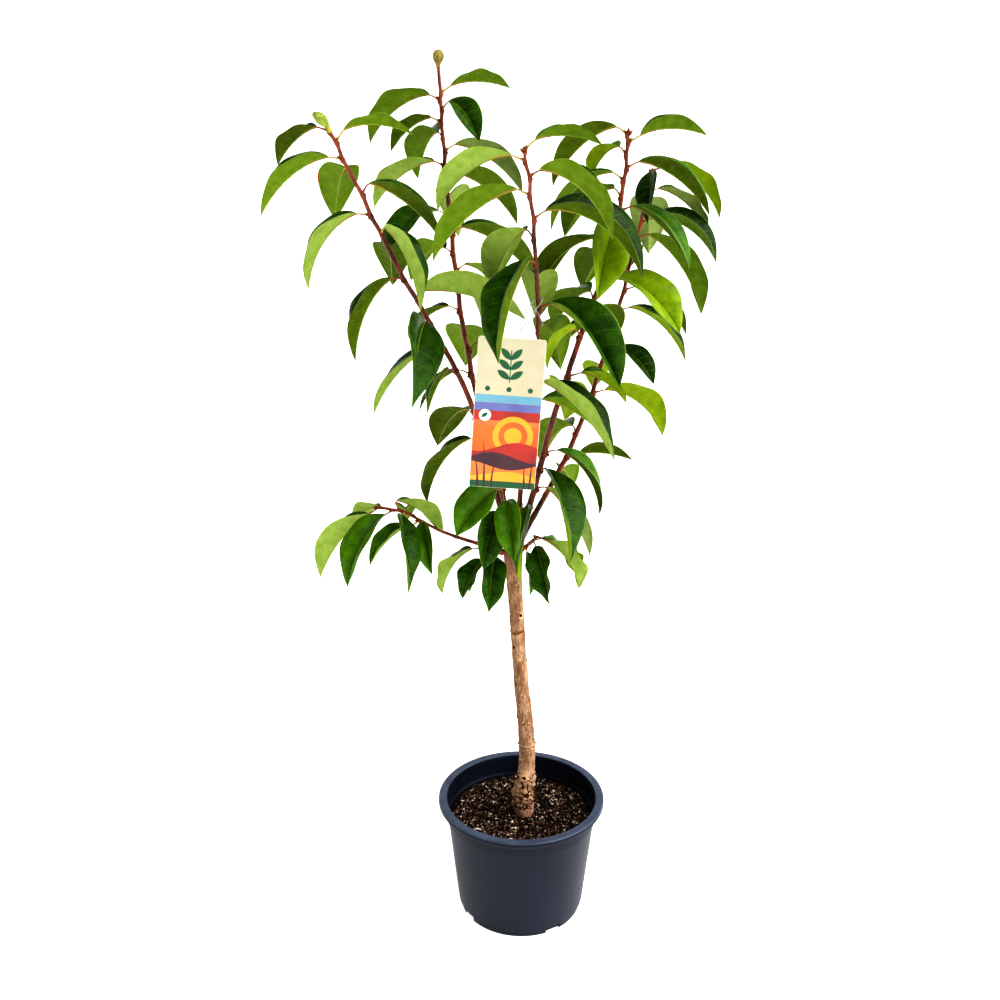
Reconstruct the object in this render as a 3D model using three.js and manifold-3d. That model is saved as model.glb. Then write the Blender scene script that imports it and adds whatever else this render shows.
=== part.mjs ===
// A young persimmon tree in its nursery pot, in millimetres.
// The origin is the middle of the pot's underside. +Z is up, and the hang tag faces -Y.
import * as THREE from 'three';
import { mergeVertices } from 'three/addons/utils/BufferGeometryUtils.js';
import Module from 'manifold-3d';

const wasm = await Module();
wasm.setup();

// Clearance between pieces that rest on each other
const seat = 0.3;

// Pot: a thin tapered wall with a flat turned-out lip and drain slots round the foot
const potHeight = 187;
const rimRadius = 125;
const rimWidth = 12;
const lipDrop = 9;
const neckRadius = 114;
const neckTop = 172;
const neckBottom = 155;
const footRadius = 92;
const footHeight = 10;
const wall = 2.2;
const potSides = 40;
// How far the wall stands out over the foot and the neck over the wall, and the small flares
// and rounded corners of foot, neck, lip and mouth
const heelStep = 3.5;
const neckStep = 3;
const footFlare = 0.8;
const neckFlare = 0.6;
const lipRound = 2;
const mouthRound = 3;
const slotCount = 4;
const slotTurn = 31;
const slotSize = { wide: 24, high: 10, deep: 10 };

// Potting mix: its level, its crown of crumbs and the flat spot round the stem
const soilTop = 151.5;
const soilMound = 2.5;
const collarRadius = 26;
const soilRings = [55, 82];
const soilShoulder = 3;
const soilSlack = 1.2;
const soilSeed = 7;
// Share of the unevenness that lies below the level, and what is left of it at the wall
const soilBelow = 0.6;
const soilEdgeShare = 0.4;

// Trunk, from the soil to the fork: sideways place, height and radius.
// The swelling low down is the graft, and the last two rows are the head of the fork.
const trunkRows = [
  [3.6, 151.8, 13.2], [4.2, 166, 15.8], [5.4, 190, 16.6], [7.0, 214, 14.6], [8.3, 245, 12.6],
  [8.0, 275, 12.5], [5.7, 315, 12.0], [0.2, 365, 11.2], [-4.6, 431, 10.9], [-8.5, 494, 10.8],
  [-12.3, 549, 11.6], [-13.4, 574, 13.6], [-13.6, 590, 13.4], [-13.4, 600, 9.0],
];
const trunkSides = 14;

// Boughs and shoots. Each runs through its points and thins from its first radius to its last.
// Counted from the tip, leafless is the bare end and reach the stretch that bears leaves.
// The words are the leaves from the tip down: the hour that the leaf points to, seen from above
// with the front at 6, then + long, - short, ^ lifted or v hanging. A dot is a bare node.
const shoots = {
  left_bough: {
    points: [[-17, 0, 588], [-72, -30, 812], [-159, -65, 992], [-232, -95, 1155]],
    radii: [4.8, 2.4], leafless: 2, reach: 450, seed: 106, bud: [27, 6.5],
    leaves: '10- 3-^ 9 11 3 9v 5v 12 8v 3+^ 6+ 9v 7- . 12 9v',
  },
  tall_bough: {
    points: [[-15, 4, 588], [-77, 60, 859], [-102, 110, 1046], [-115, 150, 1227]],
    radii: [5.0, 2.4], leafless: 34, reach: 380, seed: 105, bud: [21, 7],
    leaves: '3^- 9.5 4- 10- 11 3 10 4 12 8 2.5+ 10.5 2- 5.5 9.5- 12 3- 9-',
  },
  front_bough: {
    points: [[-10, -4, 590], [0.6, -60, 766], [14, -108, 930], [4, -140, 1080], [-5, -155, 1136]],
    radii: [4.4, 2.2], leafless: 2, reach: 330, seed: 28, bud: [8, 2.6],
    leaves: '3-^ 9 4 9+ 3.5+ 11 7+v 12 3.5+v 1 10- 4.5+ 2',
  },
  right_bough: {
    points: [[-6, 0, 590], [43, -40, 808], [98, -50, 983], [118, -50, 1076], [123, -50, 1150]],
    radii: [5.4, 2.3], leafless: 2, reach: 510, seed: 80, bud: [9, 3],
    leaves: '9 3^- 11- 3.5 9 10 3.5 6v 9.5 10.5 3.5 9.5 1 8- . 3- 12 . . 3.5v 5+v 4v 6v',
  },
  back_bough: {
    points: [[-8, 5, 590], [76, 60, 740], [134, 115, 907], [158, 138, 998], [178, 152, 1090]],
    radii: [4.6, 2.1], leafless: 2, reach: 445, seed: 102, bud: [8, 2.6],
    leaves: '3 6-v 2.5 12v 3 3.5+v 12 9- 2.5 3.5 9- 4- 12- 3 . 11 3.5^- 1-',
  },
  low_bough: {
    points: [[-18, 0, 582], [-106, -25, 622], [-155, -40, 655], [-195, -45, 668]],
    radii: [3.1, 1.9], leafless: 2, reach: 66, seed: 65, bud: [6, 2.4], even: true,
    leaves: '9v 10- 8v 3- 6v 12- 7- 5v-',
  },
  left_spur: {
    points: [[-20, -8, 586], [-42, -22, 596], [-54, -30, 600]],
    radii: [3.0, 1.8], leafless: 1, reach: 27, seed: 43, bud: [5, 2], even: true, scale: 0.76,
    leaves: '9v 7.5v- 6.5v 8v-',
  },
  right_spur: {
    points: [[-4, -10, 588], [8, -30, 610], [16, -42, 624]],
    radii: [3.0, 1.8], leafless: 1, reach: 29, seed: 77, bud: [5, 2], even: true, scale: 0.76,
    leaves: '4v 5v 2.5v 6v-',
  },
  front_spur: {
    points: [[-13, -8, 598], [-24, -34, 650], [-26, -48, 694]],
    radii: [3.0, 1.8], leafless: 1, reach: 57, seed: 62, bud: [5, 2], even: true, scale: 0.76,
    leaves: '8 5.5v 7v 12-',
  },
};
const stubLength = 8;
const taperPower = 0.8;
const boughSides = 8;
const boughPace = 24;
const stemSides = 5;
const stemPace = 28;
const budFaces = { round: 7, long: 5 };
const budSunk = 2;

// Leaves: length from stalk to tip, width over length, stalk, thickness at the midrib
const leafLength = 118;
const leafWidth = 0.44;
const stalkLength = 15;
const stalkRadius = 1.2;
const stalkAngle = 55;
const stalkRootShare = 1.3;
const bladeThickness = 2.2;
const bladeSteps = 40;
const bladeStations = [3, 10, 18, 26, 34];
// Slopes of a blade at its stalk and at its tip, its fold and its sideways roll, in degrees
const rise = { mean: 8, spread: 18 };
const fall = { mean: -70, spread: 16 };
const fold = 36;
const sideRoll = 22;
// How far the blades roll their upper faces towards the light behind the tree, in degrees
const turnedBack = 4;
// A blade's outline rises from the stalk and falls to the tip by these powers
const outlinePowers = [0.8, 1.05];
const outlinePeak = 0.282;
// How soon it droops, and the share of its roll that it has at the stalk
const droopPower = 0.7;
const rollAtStalk = 0.3;
const steepest = -89;
// What the marks of a leaf's word do to its length and to its slopes
const longer = 1.22;
const shorter = 0.68;
const lifted = { first: 20, last: 40 };
const hanging = { first: -16, last: -14 };
// How freely leaves depart from their words: the draws that each has, their crowding towards
// the tip, scatter along the shoot in mm and in heading in degrees, and shares of the sizes
const drawsPerLeaf = 9;
const crowding = 1.3;
const nodeScatter = 5;
const headingScatter = 24;
const lengthShare = { least: 0.93, spread: 0.14 };
const widthShare = { least: 0.9, spread: 0.2 };
const foldShare = { least: 0.7, spread: 0.6 };
// Room that a blade keeps to the others and to limbs, and the sideways turns and the lifts,
// in degrees, that are tried before it is left out
const leafRoom = 6.5;
const limbRoom = 3.5;
const turns = [0, 14, -14, 28, -28, 42, -42, 58, -58];
const lifts = [0, -12, 12];
// Points of the room test: their pace along a blade, their places from midrib to margin, the
// stalk's free stretch, and how many leaf lengths apart two blades can't touch
const testPace = 2;
const testShares = [1, 2 / 3, 1 / 3];
const stalkFree = 0.2;
const farApart = 1.3;
// Pace of the points that stand for shoots and tag, and the room round tag and trunk
const shootPace = 6;
const tagPace = 13;
const tagRoom = 5;
const trunkRoom = 2;

// Hang tag on its thread
const tag = { wide: 82, high: 190, thick: 1.2, lean: -4, at: [-23.4, -150, 825.8] };
const tagRound = 3;
const tagTab = { aside: 10, wide: 38, high: 12, hole: 3, slope: 2, shoulder: 10 };
const threadRadius = 0.6;
const threadBough = 'front_bough';
const threadHeight = 958;
const threadSides = 6;
// Slack of its ring: through the hole, beside and behind the shoot, and its drop to the front
const threadSlack = { hole: 2.6, top: 0.2, beside: 1.4, behind: 0.7, drop: 1 };

const up = new THREE.Vector3(0, 0, 1);
const degrees = THREE.MathUtils.degToRad;

// A repeatable draw between 0 and 1
function draw(seed, k) {
  const v = Math.sin(seed * 12.9898 + k * 78.233) * 43758.5453;
  return v - Math.floor(v);
}

function vector(p) {
  return new THREE.Vector3(p[0], p[1], p[2]);
}

// Points of a smooth line through a few given ones
function smoothLine(points, perSpan = 16, closed = false) {
  const curve = new THREE.CatmullRomCurve3(points.map(vector), closed, 'catmullrom', 0.5);
  return curve.getPoints(perSpan * (points.length - (closed ? 0 : 1)));
}

function lengthOf(line) {
  let total = 0;
  for (let i = 1; i < line.length; i += 1) total += line[i].distanceTo(line[i - 1]);
  return total;
}

// Place and direction at a distance along a line
function along(line, distance) {
  let rest = Math.max(distance, 0);
  for (let i = 1; i < line.length; i += 1) {
    const step = line[i].distanceTo(line[i - 1]);
    if (rest <= step || i === line.length - 1) {
      const point = line[i - 1].clone().lerp(line[i], Math.min(rest / step, 1));
      return { point, heading: line[i].clone().sub(line[i - 1]).normalize() };
    }
    rest -= step;
  }
  return null;
}

function meshFrom(points, faces) {
  const geometry = new THREE.BufferGeometry();
  geometry.setAttribute('position', new THREE.Float32BufferAttribute(points.flatMap((p) => p.toArray()), 3));
  geometry.setIndex(faces.flat());
  return geometry;
}

function solidFrom(geometry) {
  const bare = geometry.clone();
  bare.deleteAttribute('normal');
  bare.deleteAttribute('uv');
  const merged = mergeVertices(bare, 1e-4);
  return new wasm.Manifold(new wasm.Mesh({
    numProp: 3,
    vertProperties: new Float32Array(merged.attributes.position.array),
    triVerts: new Uint32Array(merged.index.array),
  }));
}

function geometryFrom(solid) {
  const mesh = solid.getMesh();
  const geometry = new THREE.BufferGeometry();
  geometry.setAttribute('position', new THREE.BufferAttribute(mesh.vertProperties, 3));
  geometry.setIndex(new THREE.BufferAttribute(mesh.triVerts, 1));
  geometry.computeVertexNormals();
  return geometry;
}

function largestPiece(solid) {
  const pieces = solid.decompose();
  return pieces.reduce((best, piece) => (piece.volume() > best.volume() ? piece : best));
}

// A round bar along a line, its radius given at each point, with flat ends unless it is a ring.
// Its sections lie square to the line, or level where that is asked.
function roundBar(line, radii, sides, closed = false, level = false) {
  const rows = closed ? line.slice(0, -1) : line;
  const points = [];
  const faces = [];
  let across = null;
  rows.forEach((at, i) => {
    const before = closed ? rows[(i + rows.length - 1) % rows.length] : rows[Math.max(i - 1, 0)];
    const after = closed ? rows[(i + 1) % rows.length] : rows[Math.min(i + 1, rows.length - 1)];
    const heading = level ? up : after.clone().sub(before).normalize();
    if (!across) across = new THREE.Vector3().crossVectors(heading, new THREE.Vector3(0.2, 1, 0.1));
    across = across.clone().addScaledVector(heading, -across.dot(heading)).normalize();
    const other = new THREE.Vector3().crossVectors(heading, across);
    for (let k = 0; k < sides; k += 1) {
      const turn = (k * 2 * Math.PI) / sides;
      const side = across.clone().multiplyScalar(Math.cos(turn)).addScaledVector(other, Math.sin(turn));
      points.push(at.clone().addScaledVector(side, radii[i]));
    }
  });
  const spans = closed ? rows.length : rows.length - 1;
  for (let i = 0; i < spans; i += 1) {
    const row = i * sides;
    const next = ((i + 1) % rows.length) * sides;
    for (let k = 0; k < sides; k += 1) {
      const l = (k + 1) % sides;
      faces.push([row + k, row + l, next + l], [row + k, next + l, next + k]);
    }
  }
  if (!closed) {
    const last = (rows.length - 1) * sides;
    for (let k = 1; k < sides - 1; k += 1) {
      faces.push([0, k + 1, k], [last, last + k, last + k + 1]);
    }
  }
  return meshFrom(points, faces);
}

// A shoot's radius at a distance from its foot
function shootRadius(shoot, distance) {
  const left = Math.max(1 - distance / shoot.length, 0);
  return shoot.radii[1] + (shoot.radii[0] - shoot.radii[1]) * left ** taperPower;
}

// A stretch of a shoot, its skin moved out by a given amount
function shootBar(shoot, from, to, sides, pace, grown = 0) {
  const count = Math.max(Math.round((to - from) / pace), 2);
  const line = [];
  const radii = [];
  for (let i = 0; i <= count; i += 1) {
    const distance = from + ((to - from) * i) / count;
    line.push(along(shoot.line, distance).point);
    radii.push(shootRadius(shoot, distance) + grown);
  }
  return roundBar(line, radii, sides);
}

// A blade's half width over its widest, from the stalk to the drawn-out tip
function bladeOutline(u) {
  return (u ** outlinePowers[0] * (1 - u) ** outlinePowers[1]) / outlinePeak;
}

// One leaf by the rule, from its word, its number on the shoot and an extra turn and lift
function growLeaf(shoot, word, number, count, turn, lift) {
  const hour = parseFloat(word);
  const r = (k) => draw(shoot.seed, number * drawsPerLeaf + k);
  const share = number / Math.max(count - 1, 1);
  const spread = share ** (shoot.even ? 1 : crowding);
  const down = shoot.leafless + shoot.reach * spread + (r(0) - 0.5) * nodeScatter;
  const node = along(shoot.line, shoot.length - down);
  const reach = shootRadius(shoot, shoot.length - down) + stalkLength;
  const azimuth = degrees(90 - 30 * hour + (r(1) - 0.5) * headingScatter + turn);
  let long = leafLength * (lengthShare.least + lengthShare.spread * r(2)) * (shoot.scale ?? 1);
  let first = rise.mean + rise.spread * (r(7) - 0.5) + lift;
  let last = fall.mean + fall.spread * (r(3) - 0.5) + lift;
  if (word.includes('+')) long *= longer;
  if (word.includes('-')) long *= shorter;
  if (word.includes('^')) {
    first += lifted.first;
    last += lifted.last;
  }
  if (word.includes('v')) {
    first += hanging.first;
    last += hanging.last;
  }
  last = Math.max(last, steepest);
  const tilt = degrees((r(4) - 0.5) * 2 * sideRoll - turnedBack * Math.cos(azimuth));
  const bend = degrees(fold * (foldShare.least + foldShare.spread * r(5)));
  const half = (long * leafWidth * (widthShare.least + widthShare.spread * r(6))) / 2;
  const ahead = new THREE.Vector3(Math.cos(azimuth), Math.sin(azimuth), 0);
  const aside = new THREE.Vector3(-ahead.y, ahead.x, 0);
  const off = ahead.clone().addScaledVector(node.heading, -ahead.dot(node.heading)).normalize();
  const stalk = off.multiplyScalar(Math.sin(degrees(stalkAngle)));
  stalk.addScaledVector(node.heading, Math.cos(degrees(stalkAngle)));
  const foot = node.point.clone().addScaledVector(stalk, reach);
  const slope = (u) => degrees(first + (last - first) * u ** droopPower);
  const middle = [foot];
  const left = [];
  const right = [];
  const upward = [];
  const sideways = [];
  for (let i = 0; i <= bladeSteps; i += 1) {
    const u = i / bladeSteps;
    const angle = slope(u);
    const heading = ahead.clone().multiplyScalar(Math.cos(angle)).addScaledVector(up, Math.sin(angle));
    const normal = new THREE.Vector3().crossVectors(heading, aside);
    const lean = tilt * (rollAtStalk + (1 - rollAtStalk) * u);
    const side = aside.clone().multiplyScalar(Math.cos(lean)).addScaledVector(normal, Math.sin(lean));
    const above = normal.clone().multiplyScalar(Math.cos(lean)).addScaledVector(aside, -Math.sin(lean));
    const wide = half * bladeOutline(u);
    const raised = middle[i].clone().addScaledVector(above, Math.sin(bend) * wide);
    left.push(raised.clone().addScaledVector(side, Math.cos(bend) * wide));
    right.push(raised.clone().addScaledVector(side, -Math.cos(bend) * wide));
    upward.push(above);
    sideways.push(side);
    if (i < bladeSteps) {
      const angleOn = (angle + slope((i + 1) / bladeSteps)) / 2;
      const step = long / bladeSteps;
      const on = ahead.clone().multiplyScalar(Math.cos(angleOn)).addScaledVector(up, Math.sin(angleOn));
      middle.push(middle[i].clone().addScaledVector(on, step));
    }
  }
  return { node: node.point, foot, middle, left, right, upward, sideways };
}

// Points spread over a blade and its stalk, for the room test
function leafPoints(leaf) {
  const points = [leaf.foot.clone().lerp(leaf.node, stalkFree), leaf.foot, leaf.middle[bladeSteps]];
  for (let i = testPace; i < bladeSteps; i += testPace) {
    points.push(leaf.middle[i]);
    for (const edge of [leaf.left, leaf.right]) {
      for (const share of testShares) points.push(leaf.middle[i].clone().lerp(edge[i], share));
    }
  }
  return points;
}

// Whether a leaf keeps its room to the leaves so far and to limbs, tag and thread
function hasRoom(points, centre, placed, obstacles) {
  const near = leafRoom * leafRoom;
  for (const other of placed) {
    if (other.centre.distanceTo(centre) < farApart * leafLength) {
      for (const q of other.points) {
        if (points.some((p) => p.distanceToSquared(q) < near)) return false;
      }
    }
  }
  return obstacles.every(([q, radius]) => points.every((p) => p.distanceTo(q) > radius + limbRoom));
}

// The first way of growing a leaf that has room, or nothing
function placeLeaf(shoot, list, number, placed, obstacles) {
  for (const lift of lifts) {
    for (const turn of turns) {
      const leaf = growLeaf(shoot, list[number], number, list.length, turn, lift);
      const points = leafPoints(leaf);
      const centre = leaf.middle[bladeSteps / 2];
      if (hasRoom(points, centre, placed, obstacles)) return { leaf, points, centre };
    }
  }
  return null;
}

// Every leaf of the tree, dealt out from the tips down, with each shoot in its turn
function growLeaves(obstacles) {
  const placed = [];
  const words = Object.entries(shoots).map(([name, shoot]) => [name, shoot, shoot.leaves.split(' ')]);
  const most = Math.max(...words.map(([, , list]) => list.length));
  for (let number = 0; number < most; number += 1) {
    for (const [name, shoot, list] of words) {
      if (number < list.length && list[number] !== '.') {
        const found = placeLeaf(shoot, list, number, placed, obstacles);
        if (found) placed.push({ name, ...found });
      }
    }
  }
  return placed;
}

// Four points round the stalk, in the order of a blade's section
function stalkSection(leaf, at, radius) {
  return [[1, 0], [0, 1], [-1, 0], [0, -1]].map(([side, above]) => at.clone()
    .addScaledVector(leaf.sideways[0], side * radius)
    .addScaledVector(leaf.upward[0], above * radius));
}

// A leaf as a solid: its stalk, rooted in the shoot, and a folded blade with sharp margins
function leafSolid(leaf) {
  const points = stalkSection(leaf, leaf.node, stalkRootShare * stalkRadius);
  points.push(...stalkSection(leaf, leaf.foot, stalkRadius));
  for (const i of bladeStations) {
    const under = leaf.middle[i].clone().addScaledVector(leaf.upward[i], -bladeThickness);
    points.push(leaf.left[i], leaf.middle[i], leaf.right[i], under);
  }
  points.push(leaf.middle[bladeSteps]);
  const rows = bladeStations.length + 2;
  const faces = [[0, 2, 1], [0, 3, 2]];
  for (let k = 0; k < 4; k += 1) {
    const l = (k + 1) % 4;
    for (let row = 0; row < rows - 1; row += 1) {
      const a = row * 4;
      faces.push([a + k, a + l, a + 4 + l], [a + k, a + 4 + l, a + 4 + k]);
    }
    faces.push([(rows - 1) * 4 + k, (rows - 1) * 4 + l, rows * 4]);
  }
  return solidFrom(meshFrom(points, faces));
}

// The bud at a shoot's tip
function budSolid(shoot) {
  const [long, radius] = shoot.bud;
  const tip = along(shoot.line, shoot.length);
  const ball = new THREE.SphereGeometry(1, budFaces.round, budFaces.long);
  ball.rotateX(Math.PI / 2);
  ball.scale(radius, radius, long / 2);
  ball.applyQuaternion(new THREE.Quaternion().setFromUnitVectors(up, tip.heading));
  const middle = tip.point.clone().addScaledVector(tip.heading, long / 2 - budSunk);
  ball.translate(middle.x, middle.y, middle.z);
  return solidFrom(ball);
}

// One mass of foliage: the leafy stretch of a shoot with its leaves and bud fused on
function massGeometry(shoot, leaves) {
  const stem = shootBar(shoot, shoot.foot + seat, shoot.length, stemSides, stemPace);
  let solid = solidFrom(stem).add(budSolid(shoot));
  for (const leaf of leaves) solid = solid.add(leafSolid(leaf));
  return geometryFrom(largestPiece(solid));
}

function trunkLine() {
  return trunkRows.map(([x, z]) => new THREE.Vector3(x, 0, z));
}

function trunkBar(grown) {
  const line = trunkLine();
  line[line.length - 1].z += grown;
  return roundBar(line, trunkRows.map((row) => row[2] + grown), trunkSides, false, true);
}

// A bough from the fork to its first leaf, cut clear of the limbs before it
function boughSolid(shoot, cutters) {
  let solid = solidFrom(shootBar(shoot, 0, shoot.foot, boughSides, boughPace));
  for (const cutter of cutters) solid = solid.subtract(cutter);
  return largestPiece(solid);
}

function turned(profile) {
  const outline = profile.map(([r, z]) => new THREE.Vector2(r, z));
  const geometry = new THREE.LatheGeometry(outline, potSides);
  geometry.rotateX(Math.PI / 2);
  return geometry;
}

// The pot wall's outer radius at a height below the neck
function bodyRadius(z) {
  const low = footRadius + heelStep;
  const high = neckRadius - neckStep;
  return low + ((high - low) * (z - footHeight)) / (neckBottom - footHeight);
}

function potGeometry() {
  const inside = neckRadius - wall;
  let solid = solidFrom(turned([
    [0, 0], [footRadius, 0], [footRadius + footFlare, footHeight],
    [bodyRadius(footHeight), footHeight + 1], [bodyRadius(neckBottom), neckBottom],
    [neckRadius - neckFlare, neckBottom + 1], [neckRadius, neckTop],
    [rimRadius - lipRound, potHeight - lipDrop], [rimRadius, potHeight - lipDrop + lipRound],
    [rimRadius, potHeight - lipRound], [rimRadius - lipRound, potHeight],
    [rimRadius - rimWidth, potHeight], [inside, potHeight - mouthRound],
    [inside, neckBottom + 1], [bodyRadius(neckBottom) - wall, neckBottom],
    [bodyRadius(footHeight) - wall, footHeight], [footRadius - wall, wall], [0, wall],
  ]));
  for (let i = 0; i < slotCount; i += 1) {
    const slot = new THREE.BoxGeometry(slotSize.deep, slotSize.wide, 2 * slotSize.high);
    slot.translate(footRadius, 0, 0);
    slot.rotateZ(degrees(slotTurn) + (i * 2 * Math.PI) / slotCount);
    solid = solid.subtract(solidFrom(slot));
  }
  return geometryFrom(solid);
}

// The potting mix, filling the pot with a gently uneven top and a flat spot at the stem
function soilGeometry() {
  const edge = bodyRadius(soilTop - soilShoulder) - wall - seat;
  const rings = [collarRadius, ...soilRings, edge];
  const profile = [[0, wall + seat], [footRadius - wall - soilSlack, wall + seat]];
  profile.push([bodyRadius(footHeight) - wall - soilSlack, footHeight]);
  profile.push([edge, soilTop - soilShoulder]);
  for (const r of rings.slice().reverse()) profile.push([r, soilTop]);
  profile.push([0, soilTop]);
  const geometry = mergeVertices(deleteExtras(turned(profile)), 1e-4);
  const place = geometry.attributes.position;
  for (let i = 0; i < place.count; i += 1) {
    const r = Math.hypot(place.getX(i), place.getY(i));
    if (place.getZ(i) > soilTop - 0.1 && r > collarRadius + 1) {
      const fade = r > edge - 1 ? soilEdgeShare : 1;
      place.setZ(i, soilTop + soilMound * fade * (draw(soilSeed, i) - soilBelow));
    }
  }
  return geometry;
}

function deleteExtras(geometry) {
  geometry.deleteAttribute('normal');
  geometry.deleteAttribute('uv');
  return geometry;
}

// The tag's board with its tab and hole, upright and centred on its own middle
function tagGeometry() {
  const x = tag.wide / 2;
  const y = tag.high / 2;
  const l = tagTab.aside - tagTab.wide / 2;
  const r = tagTab.aside + tagTab.wide / 2;
  const outline = new THREE.Shape();
  outline.moveTo(-x + tagRound, -y);
  outline.lineTo(x - tagRound, -y);
  outline.quadraticCurveTo(x, -y, x, -y + tagRound);
  outline.lineTo(x, y - tagRound);
  outline.quadraticCurveTo(x, y, x - tagRound, y);
  outline.lineTo(r, y);
  outline.quadraticCurveTo(r - tagTab.slope, y + tagTab.high, r - tagTab.shoulder, y + tagTab.high);
  outline.lineTo(l + tagTab.shoulder, y + tagTab.high);
  outline.quadraticCurveTo(l + tagTab.slope, y + tagTab.high, l, y);
  outline.lineTo(-x + tagRound, y);
  outline.quadraticCurveTo(-x, y, -x, y - tagRound);
  outline.lineTo(-x, -y + tagRound);
  outline.quadraticCurveTo(-x, -y, -x + tagRound, -y);
  const hole = new THREE.Path();
  hole.absarc(tagTab.aside, y + tagTab.high / 2, tagTab.hole, 0, 2 * Math.PI, true);
  outline.holes.push(hole);
  const settings = { depth: tag.thick, bevelEnabled: false, curveSegments: 6 };
  const board = new THREE.ExtrudeGeometry(outline, settings);
  board.translate(0, 0, -tag.thick / 2);
  board.rotateX(Math.PI / 2);
  return geometryFrom(solidFrom(board));
}

// A point of the tag's board in the tree's own frame
function onTag(x, z, forward) {
  const point = new THREE.Vector3(x, -forward, z);
  point.applyAxisAngle(new THREE.Vector3(0, 1, 0), degrees(-tag.lean));
  return point.add(vector(tag.at));
}

// The thread's ring: once round the shoot, down over the tab and through its hole
function threadLine() {
  const shoot = shoots[threadBough];
  const index = shoot.line.findIndex((p) => p.z > threadHeight);
  const node = shoot.line[index];
  const out = shootRadius(shoot, lengthOf(shoot.line.slice(0, index + 1))) + seat + threadRadius;
  const holeMiddle = tag.high / 2 + tagTab.high / 2;
  const holeTop = holeMiddle + tagTab.hole - seat - threadRadius - threadSlack.top;
  const tabTop = tag.high / 2 + tagTab.high;
  const route = [
    onTag(tagTab.aside, holeTop, threadSlack.hole),
    onTag(tagTab.aside, holeTop, -threadSlack.hole),
    onTag(tagTab.aside + 3, tabTop + 2, -12),
    node.clone().add(new THREE.Vector3(out + threadSlack.beside, -1, -threadSlack.drop)),
    node.clone().add(new THREE.Vector3(0, out + threadSlack.behind, threadSlack.drop)),
    node.clone().add(new THREE.Vector3(-out - threadSlack.beside, -1, -threadSlack.drop)),
    onTag(tagTab.aside - 1, tabTop + 6, -6),
    onTag(tagTab.aside - 0.5, tabTop + 2.4, 2.4),
  ];
  return smoothLine(route.map((p) => p.toArray()), 4, true);
}

function paint(colour, roughness) {
  return new THREE.MeshStandardMaterial({ color: colour, roughness, metalness: 0 });
}

const tree = new THREE.Group();

function addPiece(name, geometry, material) {
  const mesh = new THREE.Mesh(geometry, material);
  mesh.name = name;
  tree.add(mesh);
  return mesh;
}

for (const shoot of Object.values(shoots)) {
  shoot.line = smoothLine(shoot.points);
  shoot.length = lengthOf(shoot.line);
  shoot.foot = Math.max(shoot.length - shoot.leafless - shoot.reach - stubLength, 0);
}

const thread = threadLine();
const obstacles = thread.map((p) => [p, threadRadius]);
for (const shoot of Object.values(shoots)) {
  for (let s = 0; s < shoot.length; s += shootPace) {
    obstacles.push([along(shoot.line, s).point, shootRadius(shoot, s)]);
  }
}
for (let x = -tag.wide / 2; x <= tag.wide / 2 + 1; x += tagPace) {
  for (let z = -tag.high / 2; z <= tag.high / 2 + tagTab.high; z += tagPace) {
    obstacles.push([onTag(x, z, 0), tagRoom]);
  }
}
for (let i = 1; i < trunkRows.length; i += 1) {
  obstacles.push([new THREE.Vector3(trunkRows[i][0], 0, trunkRows[i][1]), trunkRows[i][2] + trunkRoom]);
}
const leaves = growLeaves(obstacles);

const barkPaint = paint('#8d7357', 0.85);
const shootPaint = paint('#7a4a30', 0.6);
const leafPaint = paint('#4f7a2c', 0.45);

addPiece('pot', potGeometry(), paint('#2b333d', 0.42));
addPiece('soil', soilGeometry(), paint('#33261d', 0.95));
addPiece('trunk', trunkBar(0), barkPaint);

const cutters = [solidFrom(trunkBar(seat))];
for (const [name, shoot] of Object.entries(shoots)) {
  const stem = name.includes('spur') ? `${name}_twig` : name;
  const solid = boughSolid(shoot, cutters);
  addPiece(stem, geometryFrom(solid), shootPaint);
  cutters.push(solidFrom(shootBar(shoot, 0, shoot.foot + 2 * seat, boughSides, boughPace, seat)));
  const own = leaves.filter((entry) => entry.name === name).map((entry) => entry.leaf);
  addPiece(`${name}_leaves`, massGeometry(shoot, own), leafPaint);
}

const board = addPiece('hang_tag', tagGeometry(), paint('#e08a3c', 0.5));
board.position.copy(vector(tag.at));
board.rotation.y = degrees(-tag.lean);
const ring = roundBar(thread, thread.map(() => threadRadius), threadSides, true);
addPiece('tag_thread', ring, paint('#f2f2ee', 0.4));

export default tree;
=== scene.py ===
# A young persimmon tree in its nursery pot, on a pale floor.
# Lengths in the dictionaries are millimetres and angles are degrees. The pieces are made in metres.
import math
import re
import bpy
import numpy as np
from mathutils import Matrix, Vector, noise
from mathutils.geometry import tessellate_polygon


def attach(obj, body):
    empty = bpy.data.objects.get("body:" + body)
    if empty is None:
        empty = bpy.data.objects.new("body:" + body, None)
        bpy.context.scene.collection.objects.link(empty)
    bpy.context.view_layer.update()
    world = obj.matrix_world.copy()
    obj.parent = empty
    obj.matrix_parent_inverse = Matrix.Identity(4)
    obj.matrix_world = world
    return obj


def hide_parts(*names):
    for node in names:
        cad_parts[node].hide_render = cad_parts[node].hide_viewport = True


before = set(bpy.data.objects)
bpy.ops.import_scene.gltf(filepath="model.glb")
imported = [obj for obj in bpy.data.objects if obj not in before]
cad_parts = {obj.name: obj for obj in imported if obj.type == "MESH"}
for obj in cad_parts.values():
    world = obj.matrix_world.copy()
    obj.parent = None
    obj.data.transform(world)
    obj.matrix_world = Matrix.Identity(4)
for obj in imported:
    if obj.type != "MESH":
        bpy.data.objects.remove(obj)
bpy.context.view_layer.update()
mm = 0.001
upward = np.array([0.0, 0.0, 1.0])
print("frame loaded,", len(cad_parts), "nodes")


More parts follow.
